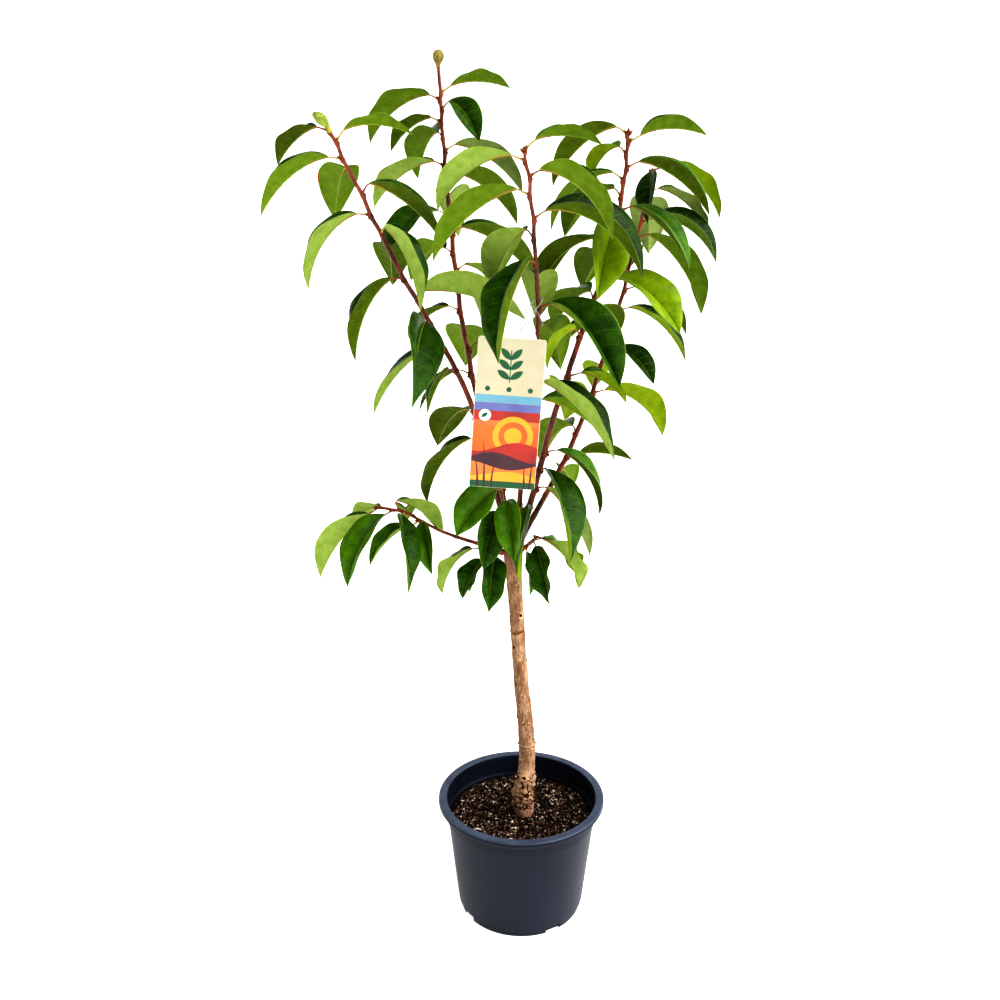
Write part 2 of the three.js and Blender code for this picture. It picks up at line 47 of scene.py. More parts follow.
# A hex colour as the linear values that the shader takes
def linear(code):
    values = [int(code[i:i + 2], 16) / 255 for i in (1, 3, 5)]
    return tuple(v / 12.92 if v < 0.04045 else ((v + 0.055) / 1.055) ** 2.4 for v in values) + (1.0,)


def addNode(nodes, kind, values):
    made = nodes.new("ShaderNode" + kind)
    for word, value in values.items():
        made.inputs[word].default_value = value
    return made


# One finish: a plain colour, mottled by noise towards a second one, with a grain in its bump
def finish(name, colour, second, rough=0.5, specular=0.4, mottle=40, stretch=(1, 1, 1), spread=0.2,
           fleck=0.0, grain=900, bump=0.1, depth=0.3, coat=0.0, roughSpread=0.06):
    material = bpy.data.materials.new(name)
    material.use_nodes = True
    nodes, link = material.node_tree.nodes, material.node_tree.links.new
    shader = nodes["Principled BSDF"].inputs
    for word, value in (("Specular IOR Level", specular), ("Coat Weight", coat), ("Coat Roughness", 0.25)):
        shader[word].default_value = value
    place = nodes.new("ShaderNodeTexCoord")
    mapping = addNode(nodes, "Mapping", {"Scale": stretch})
    link(place.outputs["Object"], mapping.inputs["Vector"])
    clouds = [addNode(nodes, "TexNoise", {"Scale": mottle, "Detail": 4}),
              addNode(nodes, "TexNoise", {"Scale": grain, "Detail": 3})]
    for cloud in clouds:
        link(mapping.outputs["Vector"], cloud.inputs["Vector"])
    patches, fine = [cloud.outputs["Fac"] for cloud in clouds]
    mix = addNode(nodes, "Mix", {"Factor": fleck})
    link(patches, mix.inputs["A"])
    link(fine, mix.inputs["B"])
    ramp = nodes.new("ShaderNodeValToRGB")
    for stop, side, code in zip(ramp.color_ramp.elements, (-1, 1), (colour, second)):
        stop.position, stop.color = 0.5 + side * spread, linear(code)
    link(mix.outputs["Result"], ramp.inputs["Fac"])
    link(ramp.outputs["Color"], shader["Base Color"])
    gloss = addNode(nodes, "MapRange", {"To Min": rough - roughSpread, "To Max": rough + roughSpread})
    link(patches, gloss.inputs["Value"])
    link(gloss.outputs["Result"], shader["Roughness"])
    relief = addNode(nodes, "Bump", {"Strength": bump, "Distance": depth * mm})
    link(fine, relief.inputs["Height"])
    link(relief.outputs["Normal"], shader["Normal"])


def addObject(name, data):
    made = bpy.data.objects.new(name, data)
    bpy.context.scene.collection.objects.link(made)
    return made


# One mesh from parts, each of points in millimetres, faces, and a finish for all or for each of them
def addMesh(name, parts):
    points, faces, finishes = [], [], []
    for partPoints, partFaces, partFinishes in parts:
        faces += [tuple(i + len(points) for i in face) for face in partFaces]
        points += (np.asarray(partPoints) * mm).tolist()
        finishes += partFinishes if isinstance(partFinishes, list) else [partFinishes] * len(partFaces)
    mesh = bpy.data.meshes.new(name)
    mesh.from_pydata(points, [], faces)
    used = sorted(set(finishes))
    for one in used:
        mesh.materials.append(bpy.data.materials[one])
    if used:
        mesh.polygons.foreach_set("material_index", [used.index(one) for one in finishes])
    return addObject(name, mesh)


def makePiece(name, parts, nodes=(), smooth=True, sharp=None):
    piece = addMesh(name, parts)
    mesh = piece.data
    mesh.polygons.foreach_set("use_smooth", [smooth] * len(mesh.polygons))
    if sharp:
        mesh.set_sharp_from_angle(angle=math.radians(sharp))
    mesh.update()
    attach(piece, "root")
    if nodes:
        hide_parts(*nodes)
    return piece


def unit(v):
    return v / np.linalg.norm(v, axis=-1, keepdims=True)


# Bearings of the points of a ring
def around(sides):
    return np.arange(sides) * 2 * math.pi / sides


# A value from a least one and a spread
def within(pair, share):
    return pair[0] + pair[1] * share


# A curve from start to end, drawn towards a bend, at the shares t
def bowed(start, bendAt, end, t):
    return (1 - t) ** 2 * start + 2 * t * (1 - t) * bendAt + t ** 2 * end


# Unit rings round a line, carried along it without twist
def ringsRound(line, sides, closed=False):
    heading = np.roll(line, -1, axis=0) - np.roll(line, 1, axis=0) if closed else np.gradient(line, axis=0)
    heading = unit(heading)
    across, rows = np.cross(heading[0], [0.2, 1.0, 0.1]), []
    for direction in heading:
        across = unit(across - across.dot(direction) * direction)
        rows.append(across)
    turn, across = around(sides)[:, None], np.array(rows)
    return across[:, None] * np.cos(turn) + np.cross(heading, across)[:, None] * np.sin(turn)


# Faces of a tube of rings, with both ends closed or joined round
def tubeFaces(rings, sides, closed=False):
    faces = []
    for i in range(rings if closed else rings - 1):
        row, onward = i * sides, ((i + 1) % rings) * sides
        for k in range(sides):
            n = (k + 1) % sides
            faces.append((row + k, row + n, onward + n, onward + k))
    if not closed:
        faces.append(tuple(range(sides - 1, -1, -1)))
        faces.append(tuple((rings - 1) * sides + k for k in range(sides)))
    return faces


def tube(line, radii, sides, finishName, closed=False):
    points = line[:, None] + ringsRound(line, sides, closed) * radii[:, None, None]
    return points.reshape(-1, 3), tubeFaces(len(line), sides, closed), finishName


# Noise at points given in millimetres, for lumps of a given size
def lumps(points, size, seed, stretch=(1, 1, 1)):
    scaled = np.asarray(points) / size / np.asarray(stretch) + seed * 17.3
    return np.array([noise.noise(Vector(p)) for p in scaled.reshape(-1, 3)]).reshape(scaled.shape[:-1])


# The growth rule of the tree: its shoots, and the leaves that each bears from the tip down.
# A word gives the hour that its leaf points to, seen from above with the front at 6,
# then + long, - short, ^ lifted or v hanging. A dot is a bare node.
spur = {"radii": [3.0, 1.8], "leafless": 1, "bud": [5, 2], "even": True, "scale": 0.76, "broad": 1.05,
        "turnedUnder": 30, "wavy": 1.9}
shoots = {
    "left_bough": {
        "points": [[-17, 0, 588], [-72, -30, 812], [-159, -65, 992], [-232, -95, 1155]],
        "radii": [4.8, 2.4], "leafless": 2, "reach": 450, "seed": 106, "bud": [25, 6.2],
        "leaves": "10- 3-^ 9 11 3 9v 5v 12 8v 3+^ 6+ 9v 7- . 12 9v",
    },
    "tall_bough": {
        "points": [[-15, 4, 588], [-77, 60, 859], [-102, 110, 1046], [-115, 150, 1227]],
        "radii": [5.0, 2.4], "leafless": 34, "reach": 380, "seed": 105, "bud": [23, 7.8],
        "leaves": "3^- 9.5 4- 10- 11 3 10 4 12 8 2.5+ 10.5 2- 5.5 9.5- 12 3- 9-",
    },
    "front_bough": {
        "points": [[-10, -4, 590], [0.6, -60, 766], [14, -108, 930], [4, -140, 1080], [-5, -155, 1136]],
        "radii": [4.4, 2.2], "leafless": 2, "reach": 330, "seed": 28, "bud": [8, 2.6],
        "leaves": "3-^ 9 4 9+ 3.5+ 11 7+v 12 3.5+v 1 10- 4.5+ 2",
    },
    "right_bough": {
        "points": [[-6, 0, 590], [43, -40, 808], [98, -50, 983], [118, -50, 1076], [123, -50, 1150]],
        "radii": [5.4, 2.3], "leafless": 2, "reach": 510, "seed": 80, "bud": [9, 3],
        "leaves": "9 3^- 11- 3.5 9 10 3.5 6v 9.5 10.5 3.5 9.5 1 8- . 3- 12 . . 3.5v 5+v 4v 6v",
    },
    "back_bough": {
        "points": [[-8, 5, 590], [76, 60, 740], [134, 115, 907], [158, 138, 998], [178, 152, 1090]],
        "radii": [4.6, 2.1], "leafless": 2, "reach": 445, "seed": 102, "bud": [8, 2.6],
        "leaves": "3 6-v 2.5 12v 3 3.5+v 12 9- 2.5 3.5 9- 4- 12- 3 . 11 3.5^- 1-",
    },
    "low_bough": {
        "points": [[-18, 0, 582], [-106, -25, 622], [-155, -40, 655], [-195, -45, 668]],
        "radii": [3.1, 1.9], "leafless": 2, "reach": 66, "seed": 65, "bud": [6, 2.4], "even": True,
        "turnedUnder": 64, "broad": 0.92, "leaves": "9v 10- 8v 3- 6v 12- 7- 5v-",
    },
    "left_spur": {**spur, "points": [[-20, -8, 586], [-42, -22, 596], [-54, -30, 600]],
                  "reach": 27, "seed": 43, "leaves": "9v 7.5v- 6.5v 8v-"},
    "right_spur": {**spur, "points": [[-4, -10, 588], [8, -30, 610], [16, -42, 624]],
                   "reach": 29, "seed": 77, "leaves": "4v 5v 2.5v 6v-"},
    "front_spur": {**spur, "points": [[-13, -8, 598], [-24, -34, 650], [-26, -48, 694]],
                   "reach": 57, "seed": 62, "leaves": "8 5.5v 7v 12-"},
}
growth = {
    "length": 118, "width": 0.44, "stalk": 15, "stalkAngle": 55, "steps": 40,
    "rise": 8, "riseSpread": 18, "fall": -70, "fallSpread": 16, "fold": 36, "roll": 22, "turnedBack": 4,
    "outlinePowers": [0.8, 1.05], "outlinePeak": 0.282, "droopPower": 0.7, "rollAtStalk": 0.3,
    "steepest": -89, "longer": 1.22, "shorter": 0.68, "lifted": [20, 40], "hanging": [-16, -14],
    "draws": 9, "crowding": 1.3, "nodeScatter": 5, "headingScatter": 24, "taper": 0.8,
    "lengthShare": [0.93, 0.14], "widthShare": [0.9, 0.2], "foldShare": [0.7, 0.6],
    "leafRoom": 6.5, "limbRoom": 3.5, "turns": [0, 14, -14, 28, -28, 42, -42, 58, -58],
    "lifts": [0, -12, 12], "testPace": 2, "testShares": [1, 2 / 3, 1 / 3], "stalkFree": 0.2,
    "farApart": 1.3, "shootPace": 6, "tagPace": 13, "tagRoom": 5, "trunkRoom": 2, "seat": 0.3,
}
trunkRows = [
    [3.6, 151.8, 13.2], [4.2, 166, 15.8], [5.4, 190, 16.6], [7.0, 214, 14.6], [8.3, 245, 12.6],
    [8.0, 275, 12.5], [5.7, 315, 12.0], [0.2, 365, 11.2], [-4.6, 431, 10.9], [-8.5, 494, 10.8],
    [-12.3, 549, 11.6], [-13.4, 574, 13.6], [-13.6, 590, 13.4], [-13.4, 600, 9.0],
]
tag = {"wide": 82, "high": 190, "thick": 1.0, "lean": -4, "at": [-23.4, -150, 825.8], "round": 3,
       "tabAside": 10, "tabWide": 38, "tabHigh": 12, "hole": 3}
thread = {"radius": 0.6, "bough": "front_bough", "height": 958, "hole": 2.6, "top": 0.2,
          "beside": 1.4, "behind": 0.7, "drop": 1}


# A repeatable draw between 0 and 1
def draw(seed, k):
    v = math.sin(seed * 12.9898 + k * 78.233) * 43758.5453
    return v - math.floor(v)


# A smooth line through a few points
def smoothLine(points, perSpan=16, closed=False):
    p = np.array(points, float)
    n = len(p)
    line = []
    for i in range(n if closed else n - 1):
        b, c = p[i], p[(i + 1) % n]
        a = p[i - 1] if closed or i > 0 else 2 * b - c
        d = p[(i + 2) % n] if closed or i + 2 < n else 2 * c - b
        for k in range(perSpan):
            t = k / perSpan
            line.append(0.5 * (2 * b + (c - a) * t + (2 * a - 5 * b + 4 * c - d) * t * t
                               + (3 * b - a - 3 * c + d) * t ** 3))
    line.append(p[0] if closed else p[-1])
    return np.array(line)


def lengthOf(line):
    return np.linalg.norm(np.diff(line, axis=0), axis=1).sum()


# Place and direction at a distance along a line
def along(line, distance):
    rest = max(distance, 0)
    steps = np.diff(line, axis=0)
    sizes = np.linalg.norm(steps, axis=1)
    for i, size in enumerate(sizes):
        if rest <= size or i == len(sizes) - 1:
            return line[i] + steps[i] * min(rest / size, 1), steps[i] / size
        rest -= size


def shootRadius(shoot, distance):
    left = max(1 - distance / shoot["length"], 0)
    thick, thin = shoot["radii"]
    return thin + (thick - thin) * left ** growth["taper"]


def bladeOutline(u):
    rising, falling = growth["outlinePowers"]
    return u ** rising * (1 - u) ** falling / growth["outlinePeak"]


# One leaf by the rule, from its word, its number on the shoot and an extra turn and lift
def growLeaf(shoot, word, number, count, turn, lift):
    g = growth
    hour = float(re.match(r"[\d.]+", word).group())
    r = [draw(shoot["seed"], number * g["draws"] + k) for k in range(g["draws"])]
    share = number / max(count - 1, 1)
    spread = share ** (1 if shoot.get("even") else g["crowding"])
    down = shoot["leafless"] + shoot["reach"] * spread + (r[0] - 0.5) * g["nodeScatter"]
    place = shoot["length"] - down
    node, heading = along(shoot["line"], place)
    reach = shootRadius(shoot, place) + g["stalk"]
    azimuth = math.radians(90 - 30 * hour + (r[1] - 0.5) * g["headingScatter"] + turn)
    long = g["length"] * within(g["lengthShare"], r[2]) * shoot.get("scale", 1)
    first = g["rise"] + g["riseSpread"] * (r[7] - 0.5) + lift
    last = g["fall"] + g["fallSpread"] * (r[3] - 0.5) + lift
    if "+" in word:
        long *= g["longer"]
    if "-" in word:
        long *= g["shorter"]
    for mark, change in (("^", g["lifted"]), ("v", g["hanging"])):
        if mark in word:
            first += change[0]
            last += change[1]
    last = max(last, g["steepest"])
    tilt = math.radians((r[4] - 0.5) * 2 * g["roll"] - g["turnedBack"] * math.cos(azimuth))
    bend = math.radians(g["fold"] * within(g["foldShare"], r[5]))
    half = long * g["width"] * within(g["widthShare"], r[6]) / 2
    ahead = np.array([math.cos(azimuth), math.sin(azimuth), 0.0])
    aside = np.array([-ahead[1], ahead[0], 0.0])
    off = unit(ahead - ahead.dot(heading) * heading)
    stalkAngle = math.radians(g["stalkAngle"])
    stalk = off * math.sin(stalkAngle) + heading * math.cos(stalkAngle)
    foot = node + stalk * reach
    steps = g["steps"]
    u = np.arange(steps + 1) / steps
    slope = np.radians(first + (last - first) * u ** g["droopPower"])
    between = (slope[:-1] + slope[1:]) / 2
    stride = (ahead * np.cos(between)[:, None] + upward * np.sin(between)[:, None]) * long / steps
    middle = np.vstack([foot, foot + np.cumsum(stride, axis=0)])
    forward = ahead * np.cos(slope)[:, None] + upward * np.sin(slope)[:, None]
    normal = np.cross(forward, np.broadcast_to(aside, forward.shape))
    lean = (tilt * (g["rollAtStalk"] + (1 - g["rollAtStalk"]) * u))[:, None]
    side = aside * np.cos(lean) + normal * np.sin(lean)
    above = normal * np.cos(lean) - aside * np.sin(lean)
    wide = (half * bladeOutline(u))[:, None]
    raised = middle + above * math.sin(bend) * wide
    return {"node": node, "foot": foot, "middle": middle, "side": side, "above": above,
            "left": raised + side * math.cos(bend) * wide, "right": raised - side * math.cos(bend) * wide,
            "bend": bend, "half": half, "long": long, "stalk": stalk, "off": off, "place": place,
            "start": forward[0], "radius": shootRadius(shoot, place)}


# Points spread over a blade and its stalk, for the room test
def leafPoints(leaf):
    free = growth["stalkFree"]
    points = [leaf["foot"] * (1 - free) + leaf["node"] * free, leaf["foot"], leaf["middle"][-1]]
    for i in range(growth["testPace"], growth["steps"], growth["testPace"]):
        centre = leaf["middle"][i]
        points.append(centre)
        for edge in ("left", "right"):
            points += [centre * (1 - s) + leaf[edge][i] * s for s in growth["testShares"]]
    return np.array(points)


# A point of the tag's board in the tree's own frame
def onTag(x, z, forward):
    angle = math.radians(-tag["lean"])
    turned = [x * math.cos(angle) + z * math.sin(angle), -forward, -x * math.sin(angle) + z * math.cos(angle)]
    return np.array(turned) + tag["at"]


def threadRoute():
    shoot = shoots[thread["bough"]]
    index = int(np.argmax(shoot["line"][:, 2] > thread["height"]))
    node = shoot["line"][index]
    out = shootRadius(shoot, lengthOf(shoot["line"][:index + 1])) + growth["seat"] + thread["radius"]
    middle = tag["high"] / 2 + tag["tabHigh"] / 2
    holeTop = middle + tag["hole"] - growth["seat"] - thread["radius"] - thread["top"]
    tabTop = tag["high"] / 2 + tag["tabHigh"]
    aside = tag["tabAside"]
    return [
        onTag(aside, holeTop, thread["hole"]), onTag(aside, holeTop, -thread["hole"]),
        onTag(aside + 3, tabTop + 2, -12),
        node + [out + thread["beside"], -1, -thread["drop"]],
        node + [0, out + thread["behind"], thread["drop"]],
        node + [-out - thread["beside"], -1, -thread["drop"]],
        onTag(aside - 1, tabTop + 6, -6), onTag(aside - 0.5, tabTop + 2.4, 2.4),
    ]


# Round places that leaves keep clear of: thread, shoots, tag and trunk
def limbPlaces():
    places = [(p, thread["radius"]) for p in smoothLine(threadRoute(), 4, True)]
    for shoot in shoots.values():
        for s in np.arange(0, shoot["length"], growth["shootPace"]):
            places.append((along(shoot["line"], s)[0], shootRadius(shoot, s)))
    for x in np.arange(-tag["wide"] / 2, tag["wide"] / 2 + 1.001, growth["tagPace"]):
        for z in np.arange(-tag["high"] / 2, tag["high"] / 2 + tag["tabHigh"] + 0.001, growth["tagPace"]):
            places.append((onTag(x, z, 0), growth["tagRoom"]))
    for x, z, radius in trunkRows[1:]:
        places.append((np.array([x, 0, z]), radius + growth["trunkRoom"]))
    return np.array([p for p, r in places]), np.array([r for p, r in places])


def hasRoom(points, centre, placed, limbs, limbRadii):
    for other in placed:
        if np.linalg.norm(other["centre"] - centre) < growth["farApart"] * growth["length"]:
            gaps = ((other["points"][None] - points[:, None]) ** 2).sum(axis=2)
            if (gaps < growth["leafRoom"] ** 2).any():
                return False
    gaps = np.linalg.norm(limbs[None] - points[:, None], axis=2)
    return bool((gaps > limbRadii[None] + growth["limbRoom"]).all())


def placeLeaf(shoot, words, number, placed, limbs, limbRadii):
    for lift in growth["lifts"]:
        for turn in growth["turns"]:
            leaf = growLeaf(shoot, words[number], number, len(words), turn, lift)
            points = leafPoints(leaf)
            centre = leaf["middle"][growth["steps"] // 2]
            if hasRoom(points, centre, placed, limbs, limbRadii):
                return {**leaf, "points": points, "centre": centre, "number": number}
    return None


# Every leaf of the tree, dealt out from the tips down, with each shoot in its turn
def growLeaves():
    limbs, limbRadii = limbPlaces()
    placed = []
    words = {name: shoot["leaves"].split() for name, shoot in shoots.items()}
    for number in range(max(len(w) for w in words.values())):
        for name, shoot in shoots.items():
            if number < len(words[name]) and words[name][number] != ".":
                leaf = placeLeaf(shoot, words[name], number, placed, limbs, limbRadii)
                if leaf:
                    placed.append({**leaf, "name": name})
    return placed


for shoot in shoots.values():
    shoot["line"] = smoothLine(shoot["points"])
    shoot["length"] = lengthOf(shoot["line"])
leaves = growLeaves()
print("leaves placed:", len(leaves))


# Leaf blades. Rows follow the side veins, which sweep forward to the margin, and each vein is a
# narrow strip of its own, as is the pale rim. Upper and under skins meet there, apart at the midrib.
blade = {
    "veins": 7, "firstVein": 0.07, "lastVein": 0.86, "veinCrowding": 0.95, "veinWidth": 0.65,
    "rowsBetween": 3, "columns": [0.13, 0.28, 0.44, 0.6, 0.75, 0.88, 0.962, 1.0], "outline": [0.9, 1.1],
    "sweep": 0.13, "sweepPower": 1.5, "thickness": 0.6, "veinDepth": 0.25, "groove": 0.3,
    "ribHalf": 0.95, "ribDepth": 1.0, "ribFade": 0.22, "ribTaper": 0.75, "ribMost": 0.35,
    "foldShare": [0.7, 0.5], "wider": 1.21, "twist": 22, "turnedAside": 70, "leastAside": 0.72,
    "turnedUnder": 5, "straighter": 0.45, "arch": 0.1, "curl": 0.06, "wavy": 0.7, "wave": [0.5, 2.2],
    "waves": [1.84, 1.15], "quilt": 0.5, "scorched": 0.07, "scorchSize": 0.06,
}
# Plain upper and under colours, and how often each is dealt, shoot by shoot
# leafFresh is painted sunlight on the upper face
upperTints = {
    "leafDeep": ["#132802", "#284705"], "leafDark": ["#1d3c02", "#3b5f08"],
    "leafMid": ["#365f03", "#578009"], "leafFresh": ["#668404", "#8ca30e"],
}
# underBright is a painted glow: light shining through the leaf from behind
underTints = {
    "underOlive": ["#425208", "#5f721b"], "underLime": ["#57700f", "#77902a"],
    "underPale": ["#7e9739", "#a2b75e"], "underBright": ["#768e0a", "#98ae1c"],
    "underDowny": ["#81934c", "#a0b06a"],
}
dealt = {
    "left_bough": ["leafDeep leafDark leafDark", "underOlive underLime underPale underOlive underLime"],
    "tall_bough": ["leafDeep leafDark leafDark",
                   "underOlive underLime underPale underOlive underLime underOlive underDowny"],
    "front_bough": ["leafDark leafMid leafDeep leafDark", "underLime underPale underOlive"],
    "right_bough": ["leafDark leafMid leafMid leafFresh", "underLime underBright underOlive underDowny"],
    "back_bough": ["leafDark leafMid leafDeep leafDark", "underBright underLime underOlive underDowny"],
    "low_bough": ["leafDark leafMid leafDark", "underPale underLime underPale underPale"],
    "left_spur": ["leafDark leafMid", "underPale underLime"],
    "right_spur": ["leafMid leafDark leafMid", "underPale underLime"],
    "front_spur": ["leafMid leafDark leafMid", "underLime underPale"],
}
for name, colours in upperTints.items():
    finish(name, *colours, 0.36, 0.13, mottle=70, spread=0.13, fleck=0.35, grain=380, bump=0.3, depth=0.4)
for name, colours in underTints.items():
    finish(name, *colours, 0.66, 0.06, mottle=90, spread=0.22, fleck=0.3, grain=420, bump=0.2)
for row in (
        ["upperRib", "#93a02c", "#aab03a", 0.4, 0.2], ["upperVein", "#416e19", "#5b8827", 0.4, 0.12],
        ["upperRim", "#6d9120", "#86a72f", 0.45, 0.15], ["underRib", "#97803a", "#a88d42", 0.5, 0.15],
        ["underRibFar", "#869838", "#98a646", 0.55, 0.1], ["underRim", "#9bb442", "#adc452", 0.55, 0.1],
        ["underVein", "#566c16", "#6f8527", 0.6, 0.08], ["paleVein", "#7d963a", "#98ae55", 0.6, 0.08],
        ["scorch", "#8a4f1c", "#b5761f", 0.7, 0.15, 160]):
    finish(*row)


def visualOutline(u):
    rising, falling = blade["outline"]
    peak = rising / (rising + falling)
    return (u / peak) ** rising * ((1 - u) / (1 - peak)) ** falling


# Where each row crosses the midrib, its side of a vein, and how far the skin puffs up there
def bladeRows():
    veins = np.linspace(0, 1, blade["veins"]) ** blade["veinCrowding"]
    veins = blade["firstVein"] + (blade["lastVein"] - blade["firstVein"]) * veins
    stops = [0.004, *veins, 0.994]
    inner = blade["rowsBetween"] + 1
    rows = [(stops[0], 0, 0)]
    for i, stop in enumerate(stops[1:]):
        for share in np.arange(1, inner) / inner:
            rows.append((stops[i] + (stop - stops[i]) * share, 0, math.sin(math.pi * share)))
        rows += [(stop, -1, 0), (stop, 1, 0)] if i < blade["veins"] else [(stop, 0, 0)]
    return [np.array(column, float) for column in zip(*rows)]


def bladeSkin(leaf, seed, upperName, underName):
    b, shoot, steps = blade, shoots[leaf["name"]], growth["steps"]
    r = [draw(seed, k) for k in range(9)]
    at, beside, hump = bladeRows()
    half, long = leaf["half"] * b["wider"] * shoot.get("broad", 1), leaf["long"]
    bend = leaf["bend"] * within(b["foldShare"], r[8])

    # Leaves at the front turn aside, to show a strip of their underside
    facing, strength = max(0, -leaf["start"][1]), 2 * r[7] - 1
    aside = math.copysign(b["leastAside"] + (1 - b["leastAside"]) * abs(strength), strength)
    under, wavy = [shoot.get(word, b[word]) for word in ("turnedUnder", "wavy")]
    roll = b["twist"] * strength * (1 - facing) + b["turnedAside"] * facing * aside - under * leaf["start"][0]
    twist = math.radians(roll) * np.linspace(0.5 * facing, 1, steps + 1)[:, None]
    chord = np.linspace(leaf["middle"][0], leaf["middle"][-1], steps + 1)
    stem = leaf["middle"] + (chord - leaf["middle"]) * b["straighter"] * draw(seed, 12)
    heading = unit(np.gradient(stem, axis=0))
    top = unit(np.cross(heading, leaf["side"]))
    across = np.cross(top, heading)
    sides = across * np.cos(twist) + top * np.sin(twist)
    tops = top * np.cos(twist) - across * np.sin(twist)

    # Columns run from one margin over the midrib to the other: w across a half, u along the blade
    ribShare = b["ribHalf"] * (1 - b["ribTaper"] * at) / np.maximum(half * visualOutline(at), 0.5)
    ribShare = np.minimum(ribShare, b["ribMost"])
    cols = np.array([-c for c in reversed(b["columns"])] + [-1e-9, 0, 1e-9] + b["columns"])
    centre = len(b["columns"]) + 1
    hand = -np.sign(cols)
    isMiddle = (hand[None] == 0)
    w = np.where(isMiddle, 0, ribShare[:, None] + (1 - ribShare[:, None]) * np.abs(cols)[None])
    t = at[:, None] + beside[:, None] * b["veinWidth"] / 2 / long * (1 - 0.7 * w)
    u = np.clip(t + b["sweep"] * 4 * t * (1 - t) * w ** b["sweepPower"], 0, 1)
    place = np.clip(u * steps, 0, steps - 1e-6)
    low = place.astype(int)
    share = (place - low)[..., None]
    middle, side, above = [rows[low] * (1 - share) + rows[low + 1] * share for rows in (stem, sides, tops)]
    calm = visualOutline(u)
    wide = half * calm
    height = w * wide * math.sin(bend) + wide * (b["arch"] * np.sin(math.pi * w) - b["curl"] * w ** 4)
    phase = np.where(hand > 0, r[0], r[1]) * 2 * math.pi
    swing = wavy * within(b["wave"], r[3] ** 2) * calm
    height += swing * w ** 2 * np.sin(2 * math.pi * within(b["waves"], r[2]) * u + phase)
    height += b["quilt"] * hump[:, None] * 4 * w * (1 - w)
    outward = hand[None, :, None] * side
    skin = middle + outward * (w * wide * math.cos(bend))[..., None] + above * height[..., None]
    normal = above * math.cos(bend) - outward * math.sin(bend)
    normal[:, centre] = above[:, centre]
    thick = b["thickness"] / 2 * (1 - w ** 6)
    upper = skin + normal * (thick - b["groove"] * isMiddle)[..., None]
    veinRow = (beside != 0)[:, None] * (1 - w)
    under = skin - normal * (thick + b["veinDepth"] * veinRow
                             + b["ribDepth"] * (1 - 0.8 * u) * isMiddle)[..., None]
    rows, columns = skin.shape[:2]
    points = np.vstack([upper.reshape(-1, 3), under[:, 1:-1].reshape(-1, 3), stem[0], stem[-1]])
    top = np.arange(rows * columns).reshape(rows, columns)
    bottom = top.copy()
    bottom[:, 1:-1] = rows * columns + np.arange(rows * (columns - 2)).reshape(rows, columns - 2)
    foot, tip = len(points) - 2, len(points) - 1

    # Faces of both skins, with rib, veins, rims and the odd scorched patch in finishes of their own
    scorchFrom = 0.25 + 0.5 * r[4] if r[5] < b["scorched"] else 9
    scorchSide = 1 if r[6] < 0.5 else -1
    veinName = "underVein" if underName in ("underOlive", "underLime") else "paleVein"
    faces, finishes = [], []
    for i in range(rows - 1):
        burnt = abs(at[i] - scorchFrom) < b["scorchSize"]
        for k in range(columns - 1):
            faces.append((top[i, k], top[i, k + 1], top[i + 1, k + 1], top[i + 1, k]))
            faces.append((bottom[i, k], bottom[i + 1, k], bottom[i + 1, k + 1], bottom[i, k + 1]))
            if burnt and (k < 2 if scorchSide > 0 else k > columns - 4):
                finishes += ["scorch", "scorch"]
            # The upper rim is a painted glow of light through the thin margin
            elif k in (0, columns - 2):
                finishes += ["upperRim", "underRim"]
            elif k in (centre - 1, centre):
                finishes += ["upperRib", "underRib" if at[i] < b["ribFade"] else "underRibFar"]
            elif beside[i] < 0:
                finishes += ["upperVein", veinName]
            else:
                finishes += [upperName, underName]
    for k in range(columns - 1):
        faces += [(foot, top[0, k + 1], top[0, k]), (foot, bottom[0, k], bottom[0, k + 1]),
                  (tip, top[-1, k], top[-1, k + 1]), (tip, bottom[-1, k + 1], bottom[-1, k])]
        finishes += [upperName, underName, upperName, underName]
    return points, faces, finishes


def ofShoot(name, spots):
    return [spot for spot in spots if spot["name"] == name]


def pick(words, seed, k):
    words = words.split()
    return words[int(draw(seed, k) * len(words))]


for name, (uppers, unders) in dealt.items():
    parts = []
    for leaf in ofShoot(name, leaves):
        seed = shoots[name]["seed"] * 3 + leaf["number"]
        parts.append(bladeSkin(leaf, seed, pick(uppers, seed, 20), pick(unders, seed, 21)))
    side, kind = name.split("_")
    makePiece(side + kind.title() + "Blades", parts, [name + "_leaves"])
print("blades made")


# Leaf stalks, from the shoot's skin into the foot of the blade
stalks = {"sides": 8, "steps": 9, "radius": 1.15, "root": 1.9, "sunk": 1.0, "into": 5, "slim": 0.72,
          "bendBack": 4, "bendOut": 1.5, "under": 0.5}
for row in (["stalkAmber", "#b07f3c", "#a06a2f"], ["stalkRed", "#95502f", "#843f27"],
            ["stalkLime", "#a0953c", "#b5973e"]):
    finish(*row, rough=0.42, mottle=120)
parts, t = [], np.linspace(0, 1, stalks["steps"])
for number, leaf in enumerate(leaves):
    start = leaf["node"] + leaf["stalk"] * (leaf["radius"] - stalks["sunk"])
    bendAt = leaf["foot"] - leaf["start"] * stalks["bendBack"] + leaf["stalk"] * stalks["bendOut"]
    end = leaf["foot"] + leaf["start"] * stalks["into"] - leaf["above"][0] * stalks["under"]
    line = bowed(start, bendAt, end, t[:, None])
    radii = stalks["radius"] * (1 - (1 - stalks["slim"]) * t)
    radii += (stalks["root"] - stalks["radius"]) * (1 - t) ** 5
    radii[-1] *= 0.5
    parts.append(tube(line, radii, stalks["sides"], pick("stalkAmber stalkRed stalkLime", number, 31)))
makePiece("leafStalks", parts)


